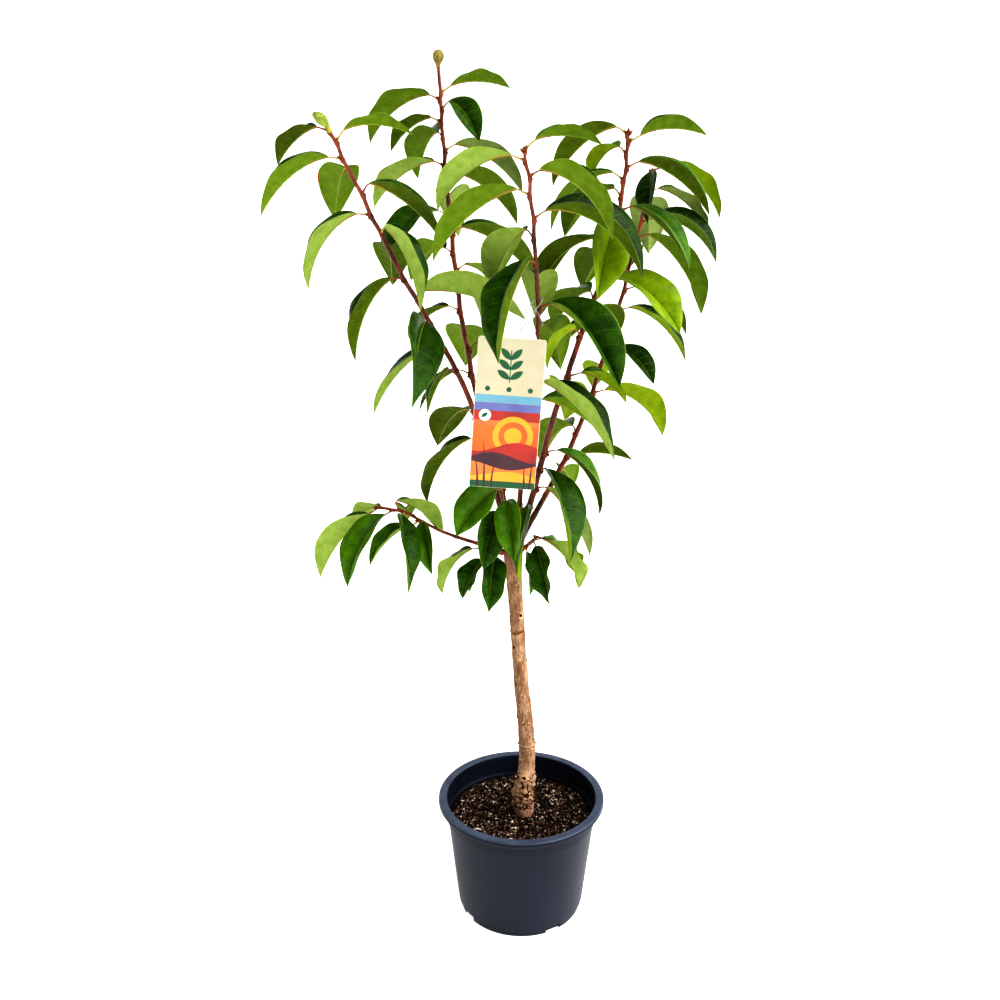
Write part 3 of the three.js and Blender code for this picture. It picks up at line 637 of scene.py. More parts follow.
# Shoots: red-brown and smooth, with a swelling under every leaf and a flare where they leave the trunk
bark = {
    "sides": 16, "pace": 2.4, "slim": 0.88, "kink": 1.0, "kinkLong": 11, "flare": 0.55, "flareLong": 16,
    "swelling": 0.7, "nodeLong": 2.6, "nodeRound": 0.35, "nodeAside": 0.9, "unevenness": 0.22, "lumpSize": 9,
    "bareFrom": 45, "barePace": 33, "bareScatter": 9, "bareRoom": 14, "bareTurn": 2.6, "bareSwelling": 0.3,
    "youngFrom": 0.84, "oldBelow": 660, "oldEdge": 12, "thick": 4,
}
for row in (["shootBark", "#3c140a", "#863e25"], ["shootYoung", "#5f2410", "#9c4d2a"],
            ["boughBark", "#33190f", "#714730"]):
    finish(*row, 0.3, 0.3, mottle=110, stretch=(1, 1, 0.35), spread=0.12, fleck=0.4, grain=500, bump=0.35,
           depth=0.4)


# Nodes that have lost their leaf, on alternate sides of a shoot's lower part
def bareNodes(name, shoot):
    lowest = min(leaf["place"] for leaf in ofShoot(name, leaves))
    found = []
    for k, place in enumerate(np.arange(bark["bareFrom"], lowest - bark["bareRoom"], bark["barePace"])):
        angle = shoot["seed"] + k * bark["bareTurn"]
        place += bark["bareScatter"] * draw(shoot["seed"], 300 + k)
        node, heading = along(shoot["line"], place)
        off = np.array([math.cos(angle), math.sin(angle), 0.0])
        off = unit(off - off.dot(heading) * heading)
        found.append({"name": name, "node": node, "place": place, "off": off,
                      "radius": shootRadius(shoot, place)})
    return found


bare = [node for name, shoot in shoots.items() for node in bareNodes(name, shoot)]


def shootSkin(name, shoot):
    s = np.linspace(0, shoot["length"], int(shoot["length"] / bark["pace"]) + 1)
    line = np.array([along(shoot["line"], d)[0] for d in s])
    for leaf in ofShoot(name, leaves):
        near = np.exp(-((s - leaf["place"]) / bark["kinkLong"]) ** 2)
        line += leaf["off"] * bark["kink"] * near[:, None]
    radii = np.array([shootRadius(shoot, d) for d in s]) * bark["slim"]
    radii *= 1 + bark["flare"] * np.exp(-s / bark["flareLong"])
    ring = ringsRound(line, bark["sides"])
    grown = radii[:, None] * np.ones(bark["sides"])
    for spot in ofShoot(name, leaves + bare):
        near = np.exp(-((s - spot["place"] + 0.5) / bark["nodeLong"]) ** 2)
        facing = np.clip(ring @ spot["off"], 0, 1)
        strength = bark["swelling"] if "stalk" in spot else bark["bareSwelling"]
        grown += strength * (radii * near)[:, None] * (bark["nodeRound"] + bark["nodeAside"] * facing)
    grown += bark["unevenness"] * lumps(line[:, None] + ring * grown[..., None], bark["lumpSize"], 3)
    points = line[:, None] + ring * grown[..., None]
    finishes, thick = [], shoot["radii"][0] > bark["thick"]
    for i, row in enumerate(line[:-1]):
        young = s[i] > bark["youngFrom"] * shoot["length"] or not thick
        old = thick and row[2] < bark["oldBelow"] + bark["oldEdge"] * math.sin(9.1 * i)
        finishes += ["boughBark" if old else "shootYoung" if young else "shootBark"] * bark["sides"]
    return points.reshape(-1, 3), tubeFaces(len(s), bark["sides"]), finishes + finishes[:1] + finishes[-1:]


woody = [name if "spur" not in name else name + "_twig" for name in shoots]
makePiece("shootWood", [shootSkin(*item) for item in shoots.items()], woody)


# Buds: the swollen ones at the tips, furled, and a small one in every leaf's axil
buds = {"rings": 18, "sides": 18, "sunk": 2, "furl": 0.12, "furlTurn": 0.9,
        "axil": [5.4, 2.0], "axilRise": 2.2, "axilAim": [0.8, 0.6],
        "pairLong": 0.95, "pairWide": 0.8, "pairAim": [0.75, 0.7, 0.25]}
budShapes = {
    "left_bough": {"widths": [0.5, 0.42, 0.44, 0.56, 0.78, 0.95, 1.0, 0.97, 0.8, 0.35],
                   "lean": [-0.35, 0, -0.05], "lower": "budLime", "higher": "budGreen", "split": 0.34},
    "tall_bough": {"widths": [0.36, 0.34, 0.46, 0.66, 0.86, 0.98, 1.0, 0.93, 0.76, 0.34],
                   "lean": [0.14, 0, 0], "lower": "budTan", "higher": "budOlive", "split": 0.24},
}
plainBud = {"widths": [0.7, 0.95, 1.0, 0.9, 0.72, 0.5, 0.26, 0.03], "lean": [0, 0, 0],
            "lower": "budBrown", "higher": "budTan", "split": 0.7}
finish("budGreen", "#6f8430", "#a3b156", 0.6, 0.15, 220, spread=0.12, fleck=0.4)
finish("budOlive", "#6d5b26", "#aa9b5a", 0.65, 0.15, 200, spread=0.12, fleck=0.4)
finish("budLime", "#8f9026", "#aba638", 0.5, 0.2, 220)
finish("budBrown", "#4f2712", "#7c4420", 0.6, 0.15, 260)
finish("budTan", "#8a5a2a", "#a98743", 0.6, 0.15, 260)


def budSkin(foot, heading, long, radius, shape, seed):
    t = np.linspace(0, 1, buds["rings"])
    widths = np.interp(t, np.linspace(0, 1, len(shape["widths"])), shape["widths"]) * radius
    line = foot + heading * (t * long)[:, None] + np.array(shape["lean"]) * (t ** 3 * long)[:, None]
    turn = around(buds["sides"])
    spiral = (turn[None] / math.pi + buds["furlTurn"] * t[:, None] + draw(seed, 1)) % 1
    grown = widths[:, None] * (1 - buds["furl"] / 2 + buds["furl"] * spiral)
    points = (line[:, None] + ringsRound(line, buds["sides"]) * grown[..., None]).reshape(-1, 3)
    cups = shape["split"] * (0.85 + 0.3 * np.sin(3 * turn + seed))
    finishes = [shape["lower"] if share < cup else shape["higher"] for share in t[:-1] for cup in cups]
    return points, tubeFaces(len(t), buds["sides"]), finishes + [shape["lower"], shape["higher"]]


parts = []
for number, (name, shoot) in enumerate(shoots.items()):
    tip, heading = along(shoot["line"], shoot["length"])
    long, radius = shoot["bud"]
    foot = tip - heading * buds["sunk"]
    parts.append(budSkin(foot, heading, long, radius, budShapes.get(name, plainBud), number))
    if name not in budShapes:
        for aside in (-1, 1):
            up, right, back = buds["pairAim"]
            aim = unit(heading * up + np.array([aside * right, aside * -back, 0]))
            parts.append(budSkin(foot, aim, long * buds["pairLong"], radius * buds["pairWide"], plainBud,
                                 number + aside))
for number, spot in enumerate(leaves + bare):
    heading = along(shoots[spot["name"]]["line"], spot["place"])[1]
    foot = spot["node"] + spot["off"] * spot["radius"] * 0.8 + heading * buds["axilRise"]
    aim = unit(heading * buds["axilAim"][0] + spot["off"] * buds["axilAim"][1])
    long, radius = np.array(buds["axil"]) * (0.75 + 0.5 * draw(number, 41))
    parts.append(budSkin(foot, aim, long, radius, plainBud, number + 50))
makePiece("buds", parts)
print("stalks, shoots and buds made")


# Trunk: a tan stem with fibres, lenticels, old buds, hollow eyes, ring scars and the graft's callus, with
# painted highlight on one side, on the callus crests and on the eye rims, and painted shade in the callus
# crevices and eye hollows.
# Marks are given by height and bearing, eyes also by size, and lumps by size and relief.
# A ring has its height, strength, bearing, finish and slope.
trunk = {
    "sides": 96, "pace": 1.05, "fibre": 0.4, "swell": 0.7, "lumpSize": 24,
    "buds": [[509, -152], [438, -134], [353, -24], [323, -159], [287, -33], [378, -136], [417, -26],
             [277, -172], [278, -8], [470, 110], [400, 60], [335, 140], [300, 30], [545, 100]],
    "eyes": [[489, -56, 5.0], [315, -102, 3.2], [224, -106, 6.2], [199, -52, 4.0], [189, -66, 3.2],
             [440, 80, 3.4], [260, 120, 4]],
    "lumps": [[197, 180, 9, 3.0], [176, -165, 11, 3.2], [189, -62, 8, 2.8], [227, -100, 8, 3.0],
              [549, -44, 6, 1.0], [205, -130, 7, 2.2], [200, 60, 9, 2.6], [180, 100, 10, 2.6],
              [215, 20, 8, 2.2], [192, 140, 8, 2.4], [156, -15, 8, 2.6], [158, -90, 8, 1.0],
              [157, 90, 8, 1.2]],
    "rings": [[463, 0.7, -120, "trunkRust", 3.0], [277, 0.4, 0, "trunkCrack", 1.0],
              [249, 0.25, -60, "trunkCrack", 1.0]],
    "budSize": 2.0, "budRise": 1.5, "ringWide": 2.2, "eyeRise": 1.1, "eyeDeep": 3.0,
    "lenticels": 380, "lenticelHigh": 0.35, "lenticelSize": 1.9, "graft": [160, 236], "graftRamp": 1.4,
    "knobs": 4.6, "knobSize": 13, "knobTop": 0.34, "crevice": 0.14, "flatRight": 2.4, "stained": 163,
    "pinkFrom": 556, "inset": 0.6, "highlightSide": -15, "highlightFrom": 0.22, "topLong": 9,
}
# trunkSunny is painted highlight: the bark as the key light lights it
for row in (["trunkBark", "#5d3f29", "#a98262", 0.75], ["trunkPink", "#6b4737", "#aa7a62", 0.7],
            ["trunkGraft", "#5a3826", "#d8ad8c", 0.85], ["trunkSunny", "#6e503a", "#c49e7d", 0.75]):
    finish(*row, 0.2, mottle=120, stretch=(1, 1, 0.35), spread=0.18, fleck=0.5, grain=460, bump=0.6,
           depth=1.0)
# Besides real buds, lenticels, ring scars and soil stains, these paint light and shade: scar and crack the
# shade in callus crevices and eye hollows, pale the highlight on eye rims
for row in (["trunkScar", "#1c0f07", "#33200f", 0.85, 0.1], ["trunkPale", "#c39a6c", "#dcb98e", 0.75, 0.2],
            ["trunkCrack", "#311a0d", "#57341b", 0.85, 0.1], ["trunkRust", "#5a3519", "#8a5a33", 0.85, 0.1]):
    finish(*row, mottle=200)


def trunkSkin():
    rows = np.array(trunkRows, float)
    foot, head = rows[0, 1], rows[-1, 1]
    count = int((head - foot) / trunk["pace"])
    fine = smoothLine(np.column_stack([rows[:, 0], rows[:, 2], rows[:, 1]]), 40)
    z = np.linspace(foot, head, count)
    x, radius = [np.interp(z, fine[:, 2], fine[:, k]) for k in (0, 1)]
    turn = around(trunk["sides"])
    ring = np.stack([np.cos(turn), np.sin(turn), 0 * turn], axis=1)
    centre = np.stack([x, 0 * x, z], axis=1)
    base = centre[:, None] + ring[None] * radius[:, None, None]
    tall = z[:, None]

    def away(height, bearing, size, stretch=1.0):
        across = (turn - math.radians(bearing) + math.pi) % (2 * math.pi) - math.pi
        return np.hypot((tall - height) / stretch, across[None] * radius[:, None]) / size

    out = trunk["swell"] * lumps(base, trunk["lumpSize"], 1) - trunk["inset"]
    out += trunk["fibre"] * (1 - 2 * np.abs(lumps(base, 3.2, 2, (1, 1, 7))))
    low, high = trunk["graft"]
    graft = 1 - np.abs(tall - (low + high) / 2) / ((high - low) / 2)
    graft = np.clip(trunk["graftRamp"] * graft, 0, 1)
    knobs = np.abs(lumps(base, trunk["knobSize"], 9, (1, 1, 0.6))
                   + 0.4 * lumps(base, trunk["knobSize"] / 2.8, 5))
    out += trunk["knobs"] * graft * (1.6 * knobs - 0.55)
    out -= trunk["flatRight"] * graft * np.clip(ring[None, :, 0], 0, 1)

    paint = np.full(out.shape, "trunkBark", "U10")
    edge = 8 * lumps(base, 12, 9)
    # Painted highlight: paler bark patches, gathered on the side that faces the key light
    paintedHighlight = lumps(base, 16, 21, (1, 1, 2.2)) + 0.5 * lumps(base, 3.5, 22, (1, 1, 2))
    paintedHighlight += 0.3 * np.cos(turn - math.radians(trunk["highlightSide"]))
    callus, crevice = graft > 0.3, trunk["crevice"]
    paint[paintedHighlight > trunk["highlightFrom"]] = "trunkSunny"
    paint[tall + edge < high] = "trunkGraft"
    paint[tall + 2 * edge > trunk["pinkFrom"]] = "trunkPink"
    # Painted highlight on the crests of the callus lumps
    paint[callus & (knobs > trunk["knobTop"])] = "trunkSunny"
    # Painted shade in the crevices between the callus lumps, darkest in the deepest ones
    paint[callus & (knobs < crevice)] = "trunkCrack"
    paint[callus & (knobs < crevice * 0.5) & (lumps(base, 6, 23) > 0.05) & (edge > -2)] = "trunkScar"
    paint[tall + 1.6 * edge < trunk["stained"] - 6] = "trunkCrack"
    paint[tall + 2.2 * edge < trunk["stained"] - 12] = "trunkScar"
    for height, strength, bearing, stain, slope in trunk["rings"]:
        beside = turn - math.radians(bearing)
        gap = (tall - height - slope * np.sin(beside)) / trunk["ringWide"]
        part = 0.4 + 0.6 * (np.cos(beside) > -0.1) if bearing else 1
        out += part * strength * (np.exp(-gap ** 2) - 1.5 * np.exp(-((gap + 1.1) * 1.8) ** 2))
        paint[(np.abs(gap + 0.9) + 0.05 * edge < 1.3 * strength) & (part * strength > 0.28)] = stain
        if not bearing:
            paint[np.abs(gap) < 0.3] = "trunkPale"
    for height, bearing, size, relief in trunk["lumps"]:
        out += relief * np.exp(-away(height, bearing, size) ** 2 * 1.5)
    for height, bearing in trunk["buds"]:
        gap = away(height, bearing, trunk["budSize"], 1.3)
        out += trunk["budRise"] * np.exp(-gap ** 2)
        paint[gap < 0.8] = "trunkScar"
    for height, bearing, size in trunk["eyes"]:
        gap = away(height, bearing, size) * (1 + 0.5 * lumps(base, 5, 12))
        out += trunk["eyeRise"] * np.exp(-gap ** 2) - trunk["eyeDeep"] * np.exp(-(gap * 2.4) ** 2)
        # Painted highlight on the raised rim of each eye, and painted shade in its hollow
        paint[(gap > 0.5) & (gap < 0.95) & (edge > -1.5)] = "trunkPale"
        paint[gap < 0.5] = "trunkScar"
    for k in range(trunk["lenticels"]):
        gap = away(foot + 18 + draw(8, k) * 400, draw(9, k) * 360, trunk["lenticelSize"], 0.5)
        out += trunk["lenticelHigh"] * np.exp(-gap ** 2 * 1.5)
        clean = np.isin(paint, ["trunkBark", "trunkGraft", "trunkSunny"])
        paint[(gap < 0.5) & clean] = "trunkPale" if k % 3 else "trunkCrack"
    top = np.clip((z - head) / trunk["topLong"] + 1, 0, 1)
    points = centre[:, None] + ring[None] * ((radius * (1 - 0.25 * top ** 2))[:, None] + out)[..., None]
    finishes = paint[:-1].ravel().tolist() + ["trunkBark", "trunkBark"]
    return points.reshape(-1, 3), tubeFaces(count, trunk["sides"]), finishes


makePiece("trunkStem", [trunkSkin()], ["trunk"])
print("trunk made")


# Pot: a turned shell with a rolled lip, a neck band, a heel line and four drain notches
pot = {"high": 187, "rim": 125, "rimWide": 12, "lipDrop": 9, "neck": 114, "neckTop": 172, "neckLow": 155,
       "foot": 92, "footHigh": 10, "wall": 2.2, "heel": 3.5, "neckStep": 3, "sides": 160,
       "notches": 4, "notchTurn": 31, "notchSize": [10, 24, 20], "notchCorner": 3}
finish("potPlastic", "#131824", "#1a2030", 0.46, 0.21, 14, fleck=0.2, grain=650, depth=0.25, roughSpread=0.08)
# The lip's lighter, mottled colour is painted highlight on the top of the rim
finish("potLip", "#384154", "#556075", 0.4, fleck=0.3, grain=650, bump=0.15, depth=0.25, roughSpread=0.1)


def bodyRadius(z):
    low, high = pot["foot"] + pot["heel"], pot["neck"] - pot["neckStep"]
    return low + (high - low) * (z - pot["footHigh"]) / (pot["neckLow"] - pot["footHigh"])


# Corners given as radius, height and rounding become short arcs
def rounded(corners, steps=5):
    profile = []
    for i, (r, z, soft) in enumerate(corners):
        here = np.array([r, z], float)
        if soft:
            start, end = [here + unit(np.array(corners[k][:2]) - here) * soft for k in (i - 1, i + 1)]
            profile += [bowed(start, here, end, t) for t in np.linspace(0, 1, steps)]
        else:
            profile.append(here)
    return profile


# Points of rings round the upright axis, from pairs of radius and height
def turned(rings, sides):
    return np.array([[r * math.cos(a), r * math.sin(a), z] for r, z in rings for a in around(sides)])


def potSkin():
    p, sides = pot, pot["sides"]
    inside = p["neck"] - p["wall"]
    top, low, foot = p["high"], p["neckLow"], p["footHigh"]
    rings = rounded([
        [0, 0, 0], [p["foot"], 0, 1.5], [p["foot"] + 0.8, foot, 0.4], [bodyRadius(foot), foot + 1, 0.8],
        [bodyRadius(low), low, 0.5], [p["neck"] - 0.6, low + 1, 0.6], [p["neck"], p["neckTop"], 2.5],
        [p["rim"] - 2, top - p["lipDrop"], 1.2], [p["rim"], top - p["lipDrop"] + 2, 1.0],
        [p["rim"], top, 2.6], [p["rim"] - p["rimWide"], top, 1.0], [inside, top - 4, 1.5],
        [inside, low + 1, 0.6], [bodyRadius(low) - p["wall"], low, 0.5],
        [bodyRadius(foot) - p["wall"], foot, 1.0], [p["foot"] - p["wall"], p["wall"], 1.5], [0, p["wall"], 0],
    ])[1:-1]
    points, faces = turned(rings, sides), tubeFaces(len(rings), sides)
    # Faces on the top of the lip take the painted highlight
    lip = [min(points[i][2] for i in face) > top - 1.5 for face in faces]
    return points, faces, ["potLip" if one else "potPlastic" for one in lip]


# One arched notch as a block to cut away, at a bearing round the foot. It has no finish.
def notchSkin(bearing):
    deep, wide, high = pot["notchSize"]
    c, s = math.cos(math.radians(bearing)), math.sin(math.radians(bearing))
    x, z, corner = wide / 2, high / 2, pot["notchCorner"]
    arch = [(-x, -z), (x, -z), (x, z - corner), (x - corner, z), (corner - x, z), (-x, z - corner)]
    points = [[out * c - across * s, out * s + across * c, up]
              for out in (pot["foot"] - deep / 2, pot["foot"] + deep / 2) for across, up in arch]
    return points, tubeFaces(2, len(arch)), []


potPiece = makePiece("potShell", [potSkin()], ["pot"], sharp=38)
bearings = pot["notchTurn"] + np.arange(pot["notches"]) * 360 / pot["notches"]
cutter = addMesh("notchCutter", [notchSkin(bearing) for bearing in bearings])
cut = potPiece.modifiers.new("notches", "BOOLEAN")
cut.object, cut.operation, cut.solver = cutter, "DIFFERENCE", "MANIFOLD"
bpy.context.view_layer.update()
shaped = bpy.data.meshes.new_from_object(potPiece.evaluated_get(bpy.context.evaluated_depsgraph_get()))
potPiece.modifiers.clear()
potPiece.data = shaped
bpy.data.objects.remove(cutter)
print("pot made,", len(shaped.polygons), "faces")


# Potting mix: an uneven bed, then bark crumbs, chips and perlite strewn over it
soil = {"top": 151.5, "seat": 0.3, "shoulder": 3, "room": 1.2, "mound": 4.0, "lumpSize": 16, "fineSize": 5,
        "rings": 60, "sides": 150, "crumbs": 5800, "chips": 1700, "perlite": 1300, "clear": 3.5,
        "clumpWide": 2.6, "smallness": 2.2, "thinning": [0.8, 0.2]}
finish("soilBed", "#0e0907", "#22150e", 0.95, 0.15, mottle=180, grain=600, bump=0.8, depth=1.0)
for row in (
        ["crumbBlack", "#0b0806", "#17100c", 0.9, 0.25], ["crumbDark", "#30221a", "#503a2d", 0.95, 0.2],
        ["crumbBrown", "#5b4233", "#866957", 0.9, 0.2], ["crumbRust", "#7a5845", "#a27c64", 0.9, 0.2]):
    finish(*row, mottle=300)
for row in (["perliteWhite", "#e4dac5", "#f8f2e6"], ["perliteTan", "#b5a080", "#d8c6a6"]):
    finish(*row, 0.8, 0.3, mottle=400)


# How far the bed rises or falls at a place
def mound(x, y):
    p = np.stack([x, y, 0 * x], axis=-1)
    return soil["mound"] * (0.9 * lumps(p, soil["lumpSize"], 6) + 0.5 * lumps(p, soil["fineSize"], 7))


def soilBed():
    shoulder = soil["top"] - soil["shoulder"]
    edge = bodyRadius(shoulder) - pot["wall"] - soil["seat"]
    low = bodyRadius(pot["footHigh"]) - pot["wall"] - soil["room"]
    base = pot["foot"] - pot["wall"] - soil["room"]
    rings = [[base, pot["wall"] + soil["seat"]], [low, pot["footHigh"]], [edge, shoulder]]
    rings += [[r, soil["top"]] for r in np.linspace(edge, 1.5, soil["rings"])]
    points = turned(rings, soil["sides"])
    x, y = points[3 * soil["sides"]:, :2].T
    calm = np.minimum(1, (edge - np.hypot(x, y)) / 4 + 0.3)
    points[3 * soil["sides"]:, 2] += mound(x, y) * calm
    return points, tubeFaces(len(rings), soil["sides"]), "soilBed"


makePiece("soilBed", [soilBed()], ["soil"])

golden = (1 + 5 ** 0.5) / 2
lumpCorners = np.array([[-1, golden, 0], [1, golden, 0], [-1, -golden, 0], [1, -golden, 0],
                        [0, -1, golden], [0, 1, golden], [0, -1, -golden], [0, 1, -golden],
                        [golden, 0, -1], [golden, 0, 1], [-golden, 0, -1], [-golden, 0, 1]]) / 1.902
lumpFaces = [(0, 11, 5), (0, 5, 1), (0, 1, 7), (0, 7, 10), (0, 10, 11), (1, 5, 9), (5, 11, 4), (11, 10, 2),
             (10, 7, 6), (7, 1, 8), (3, 9, 4), (3, 4, 2), (3, 2, 6), (3, 6, 8), (3, 8, 9), (4, 9, 5),
             (2, 4, 11), (6, 2, 10), (8, 6, 7), (9, 8, 1)]


# Small uneven lumps strewn over the bed, clear of stem and wall
def strewn(count, seed, sizes, shape, finishNames, sink=0.25, clump=1, rugged=0.45, tipped=1.6):
    rng = np.random.default_rng(seed)
    edge = bodyRadius(soil["top"]) - pot["wall"] - soil["clear"]
    radius = edge * np.sqrt(rng.random(count))
    angle = rng.random(count) * 2 * math.pi
    x, y = radius * np.cos(angle), radius * np.sin(angle)
    first = np.arange(count) // clump * clump
    x, y = [v[first] + rng.normal(0, soil["clumpWide"], count) * (clump > 1) for v in (x, y)]
    keep = (np.hypot(x - trunkRows[0][0], y) > trunkRows[0][2] - 0.5) & (np.hypot(x, y) < edge)
    keep &= rng.random(count) < soil["thinning"][0] - soil["thinning"][1] * x / edge
    x, y = x[keep], y[keep]
    size = sizes[0] + (sizes[1] - sizes[0]) * rng.random(len(x)) ** soil["smallness"]
    z = soil["top"] + mound(x, y) + size * (0.5 - sink)
    parts = []
    for i in range(len(x)):
        corners = lumpCorners * (1 + rugged * (rng.random((12, 1)) - 0.5))
        corners = corners * np.array(shape) * (0.7 + 0.6 * rng.random(3)) * size[i] / 2
        turn, tip = rng.random() * 2 * math.pi, (rng.random() - 0.5) * tipped
        c, s = math.cos(tip), math.sin(tip)
        corners = corners @ np.array([[c, 0, -s], [0, 1, 0], [s, 0, c]])
        c, s = math.cos(turn), math.sin(turn)
        corners = corners @ np.array([[c, s, 0], [-s, c, 0], [0, 0, 1]])
        name = finishNames[int(rng.random() * len(finishNames))]
        parts.append((corners + [x[i], y[i], z[i]], lumpFaces, name))
    return parts


crumbTints = ["crumbBlack"] * 4 + ["crumbDark"] * 6 + ["crumbBrown"] * 4 + ["crumbRust"] * 2
chipTints = ["crumbBrown"] * 3 + ["crumbDark"] * 4 + ["crumbBlack"] * 3 + ["crumbRust"] * 2
perliteTints = ["perliteWhite", "perliteWhite", "perliteTan"]
for name, parts in (
        ("soilCrumbs", strewn(soil["crumbs"], 11, [1.0, 5.2], [1, 0.75, 0.65], crumbTints, rugged=0.8)),
        ("barkChips", strewn(soil["chips"], 12, [2.2, 8.5], [1, 0.36, 0.2], chipTints, 0.05, tipped=2.4)),
        ("perliteGrains",
         strewn(soil["perlite"], 13, [0.8, 4.2], [1, 0.75, 0.6], perliteTints, -0.05, 4, 0.95))):
    makePiece(name, parts, smooth=False)
print("soil made")


# Hang tag: a board with a tab and hole, and a plain print of a sun over hills, grass, a sprig and bands
finish("tagBoard", "#efe9d8", "#e9e2cf", mottle=30)
for row in (["printCream", "#c8c1a4", "#bfb698"], ["printBlue", "#74a8b8", "#699cb0"],
            ["printGreen", "#17512f", "#1c6138"], ["printWhite", "#f3f3ee", "#ffffff"]):
    finish(*row, 0.45, mottle=30)
for row, mottle in (
        (["printOrange", "#e8741c", "#dc5a1a"], 22), (["printGold", "#f7a928", "#f49a1f"], 30),
        (["printRed", "#b52a17", "#8f1f16"], 26), (["printPlum", "#4b1f2e", "#381826"], 26),
        (["printViolet", "#6d78ac", "#5c5c96"], 26), (["printCoral", "#ee6a3a", "#e8892f"], 26)):
    finish(*row, 0.4, 0.45, mottle, coat=0.2)


def arc(cx, cz, radius, first, last, steps):
    angles = np.radians(np.linspace(first, last, steps))
    return [[cx + radius * math.cos(a), cz + radius * math.sin(a)] for a in angles]


def tagOutline():
    x, z, soft = tag["wide"] / 2, tag["high"] / 2, tag["round"]
    l, r = tag["tabAside"] - tag["tabWide"] / 2, tag["tabAside"] + tag["tabWide"] / 2
    top = z + tag["tabHigh"]
    outline = arc(-x + soft, -z + soft, soft, 180, 270, 5) + arc(x - soft, -z + soft, soft, 270, 360, 5)
    outline += arc(x - soft, z - soft, soft, 0, 90, 5)
    outline += [[r, z], [r - 1.5, z + 5], [r - 4, top - 3], [r - 10, top], [l + 10, top], [l + 4, top - 3],
                [l + 1.5, z + 5], [l, z]]
    return outline + arc(-x + soft, z - soft, soft, 90, 180, 5)


# The board is a plate in triangles, with its hole cut through
def boardSkin():
    outline = tagOutline()
    hole = arc(tag["tabAside"], tag["high"] / 2 + tag["tabHigh"] / 2, tag["hole"], 345, 0, 24)
    flat = outline + hole
    n, t = len(flat), tag["thick"] / 2
    points = [onTag(x, z, d) for d in (t, -t) for x, z in flat]
    faces = []
    for a, b, c in tessellate_polygon([[Vector((x, z, 0)) for x, z in loop] for loop in (outline, hole)]):
        (ax, az), (bx, bz), (cx, cz) = flat[a], flat[b], flat[c]
        if (bx - ax) * (cz - az) < (cx - ax) * (bz - az):
            b, c = c, b
        faces += [(a, b, c), (n + c, n + b, n + a)]
    for start, size in ((0, len(outline)), (len(outline), len(hole))):
        for k in range(size):
            i, j = start + k, start + (k + 1) % size
            faces.append((i, n + i, n + j, j))
    return points, faces, "tagBoard"


makePiece("tagCard", [boardSkin()], ["hang_tag"], smooth=False)


# A closed plate on the board, raised a little by its level, so that later prints lie over earlier ones
def printed(outline, level, name):
    n, step = len(outline), 0.07
    raised = [tag["thick"] / 2 + d for d in (step * level, step * (level - 1) + 0.01)]
    points = [onTag(x, z, d) for d in raised for x, z in outline]
    faces = [tuple(range(n)), tuple(range(2 * n - 1, n - 1, -1))]
    faces += [(k, n + k, n + (k + 1) % n, (k + 1) % n) for k in range(n)]
    return points, faces, name


def strip(half, low, high):
    return [[-half, low], [half, low], [half, high], [-half, high]]


def leafShape(cx, cz, long, wide, angle):
    t = np.linspace(0, 1, 9)
    edge = list(zip(t * long, np.sin(math.pi * t) ** 0.8 * wide / 2))
    shape = edge + [(p, -q) for p, q in edge[-2:0:-1]]
    c, s = math.cos(math.radians(angle)), math.sin(math.radians(angle))
    return [[cx + p * c - q * s, cz + p * s + q * c] for p, q in shape][::-1]


def hill(height, swing, phase):
    across = np.linspace(printRight, -printRight, 17)
    crest = [[v, height + swing * math.sin(v * 0.06 + phase)] for v in across]
    return [[-printRight, -printTop], [printRight, -printTop]] + crest


# A blade of grass from its foot to its tip, bowed sideways
def grass(footX, tipX, tipZ, wide=1.3):
    t = np.linspace(0, 1, 9)
    spine = list(zip(footX + (tipX - footX) * t ** 2, -printTop + (tipZ + printTop) * t, wide * (1 - t)))
    return [[a - w, c] for a, c, w in spine] + [[a + w + 0.2, c] for a, c, w in spine[::-1]]


printRight, printTop = tag["wide"] / 2 - 0.6, tag["high"] / 2 - 0.6
# Bands by their lower and upper edge, discs by centre, radius, end and steps, hills by height, swing
# and phase, grass by its foot and tip, and the sprig's leaves by height and angle
picture = {
    "bands": [["printOrange", 1, -printTop, 22], ["printCream", 1, 22.2, printTop], ["printBlue", 2, 14, 24],
              ["printViolet", 2, 1, 13.8], ["printRed", 3, -8, 4], ["printCoral", 2, -15, -5],
              ["printGreen", 11, -printTop, -86]],
    "discs": [["printGold", 4, 9, -27, 25, 348, 30], ["printOrange", 5, 9, -27, 18, 348, 26],
              ["printGold", 6, 9, -27, 11, 345, 20], ["printWhite", 5, -27, -2, 7.5, 345, 20],
              ["printGreen", 2, -26, 31.5, 3.2, 330, 12], ["printGreen", 2, 0, 31.5, 3.2, 330, 12],
              ["printGreen", 2, 26, 31.5, 3.2, 330, 12]],
    "hills": [["printRed", 7, -42, 7, 0.6], ["printPlum", 8, -55, 6, 2.4], ["printCoral", 9, -66, 5, 4.3],
              ["printGold", 10, -77, 4, 1.2]],
    "grass": [[-31, -38, -46], [-23, -27, -32], [-14, -9, -52], [27, 24, -58], [34, 37, -44]],
    "sprig": [[44, 35], [44, 145], [56, 40], [56, 140], [68, 48], [68, 132]],
}
prints = [printed(strip(printRight, low, high), level, name) for name, level, low, high in picture["bands"]]
prints += [printed(arc(cx, cz, radius, 0, last, steps), level, name)
           for name, level, cx, cz, radius, last, steps in picture["discs"]]
prints += [printed(hill(*shape), level, name) for name, level, *shape in picture["hills"]]
prints += [printed(grass(*tuft), 12, "printPlum") for tuft in picture["grass"]]
prints += [printed(leafShape(0, height, 19, 8, aim), 3, "printGreen") for height, aim in picture["sprig"]]
prints += [printed(strip(0.6, 40, 80), 2, "printGreen"),
           printed(leafShape(-31.5, -5, 10, 4.5, 38), 6, "printGreen")]
makePiece("tagPrint", prints, smooth=False)
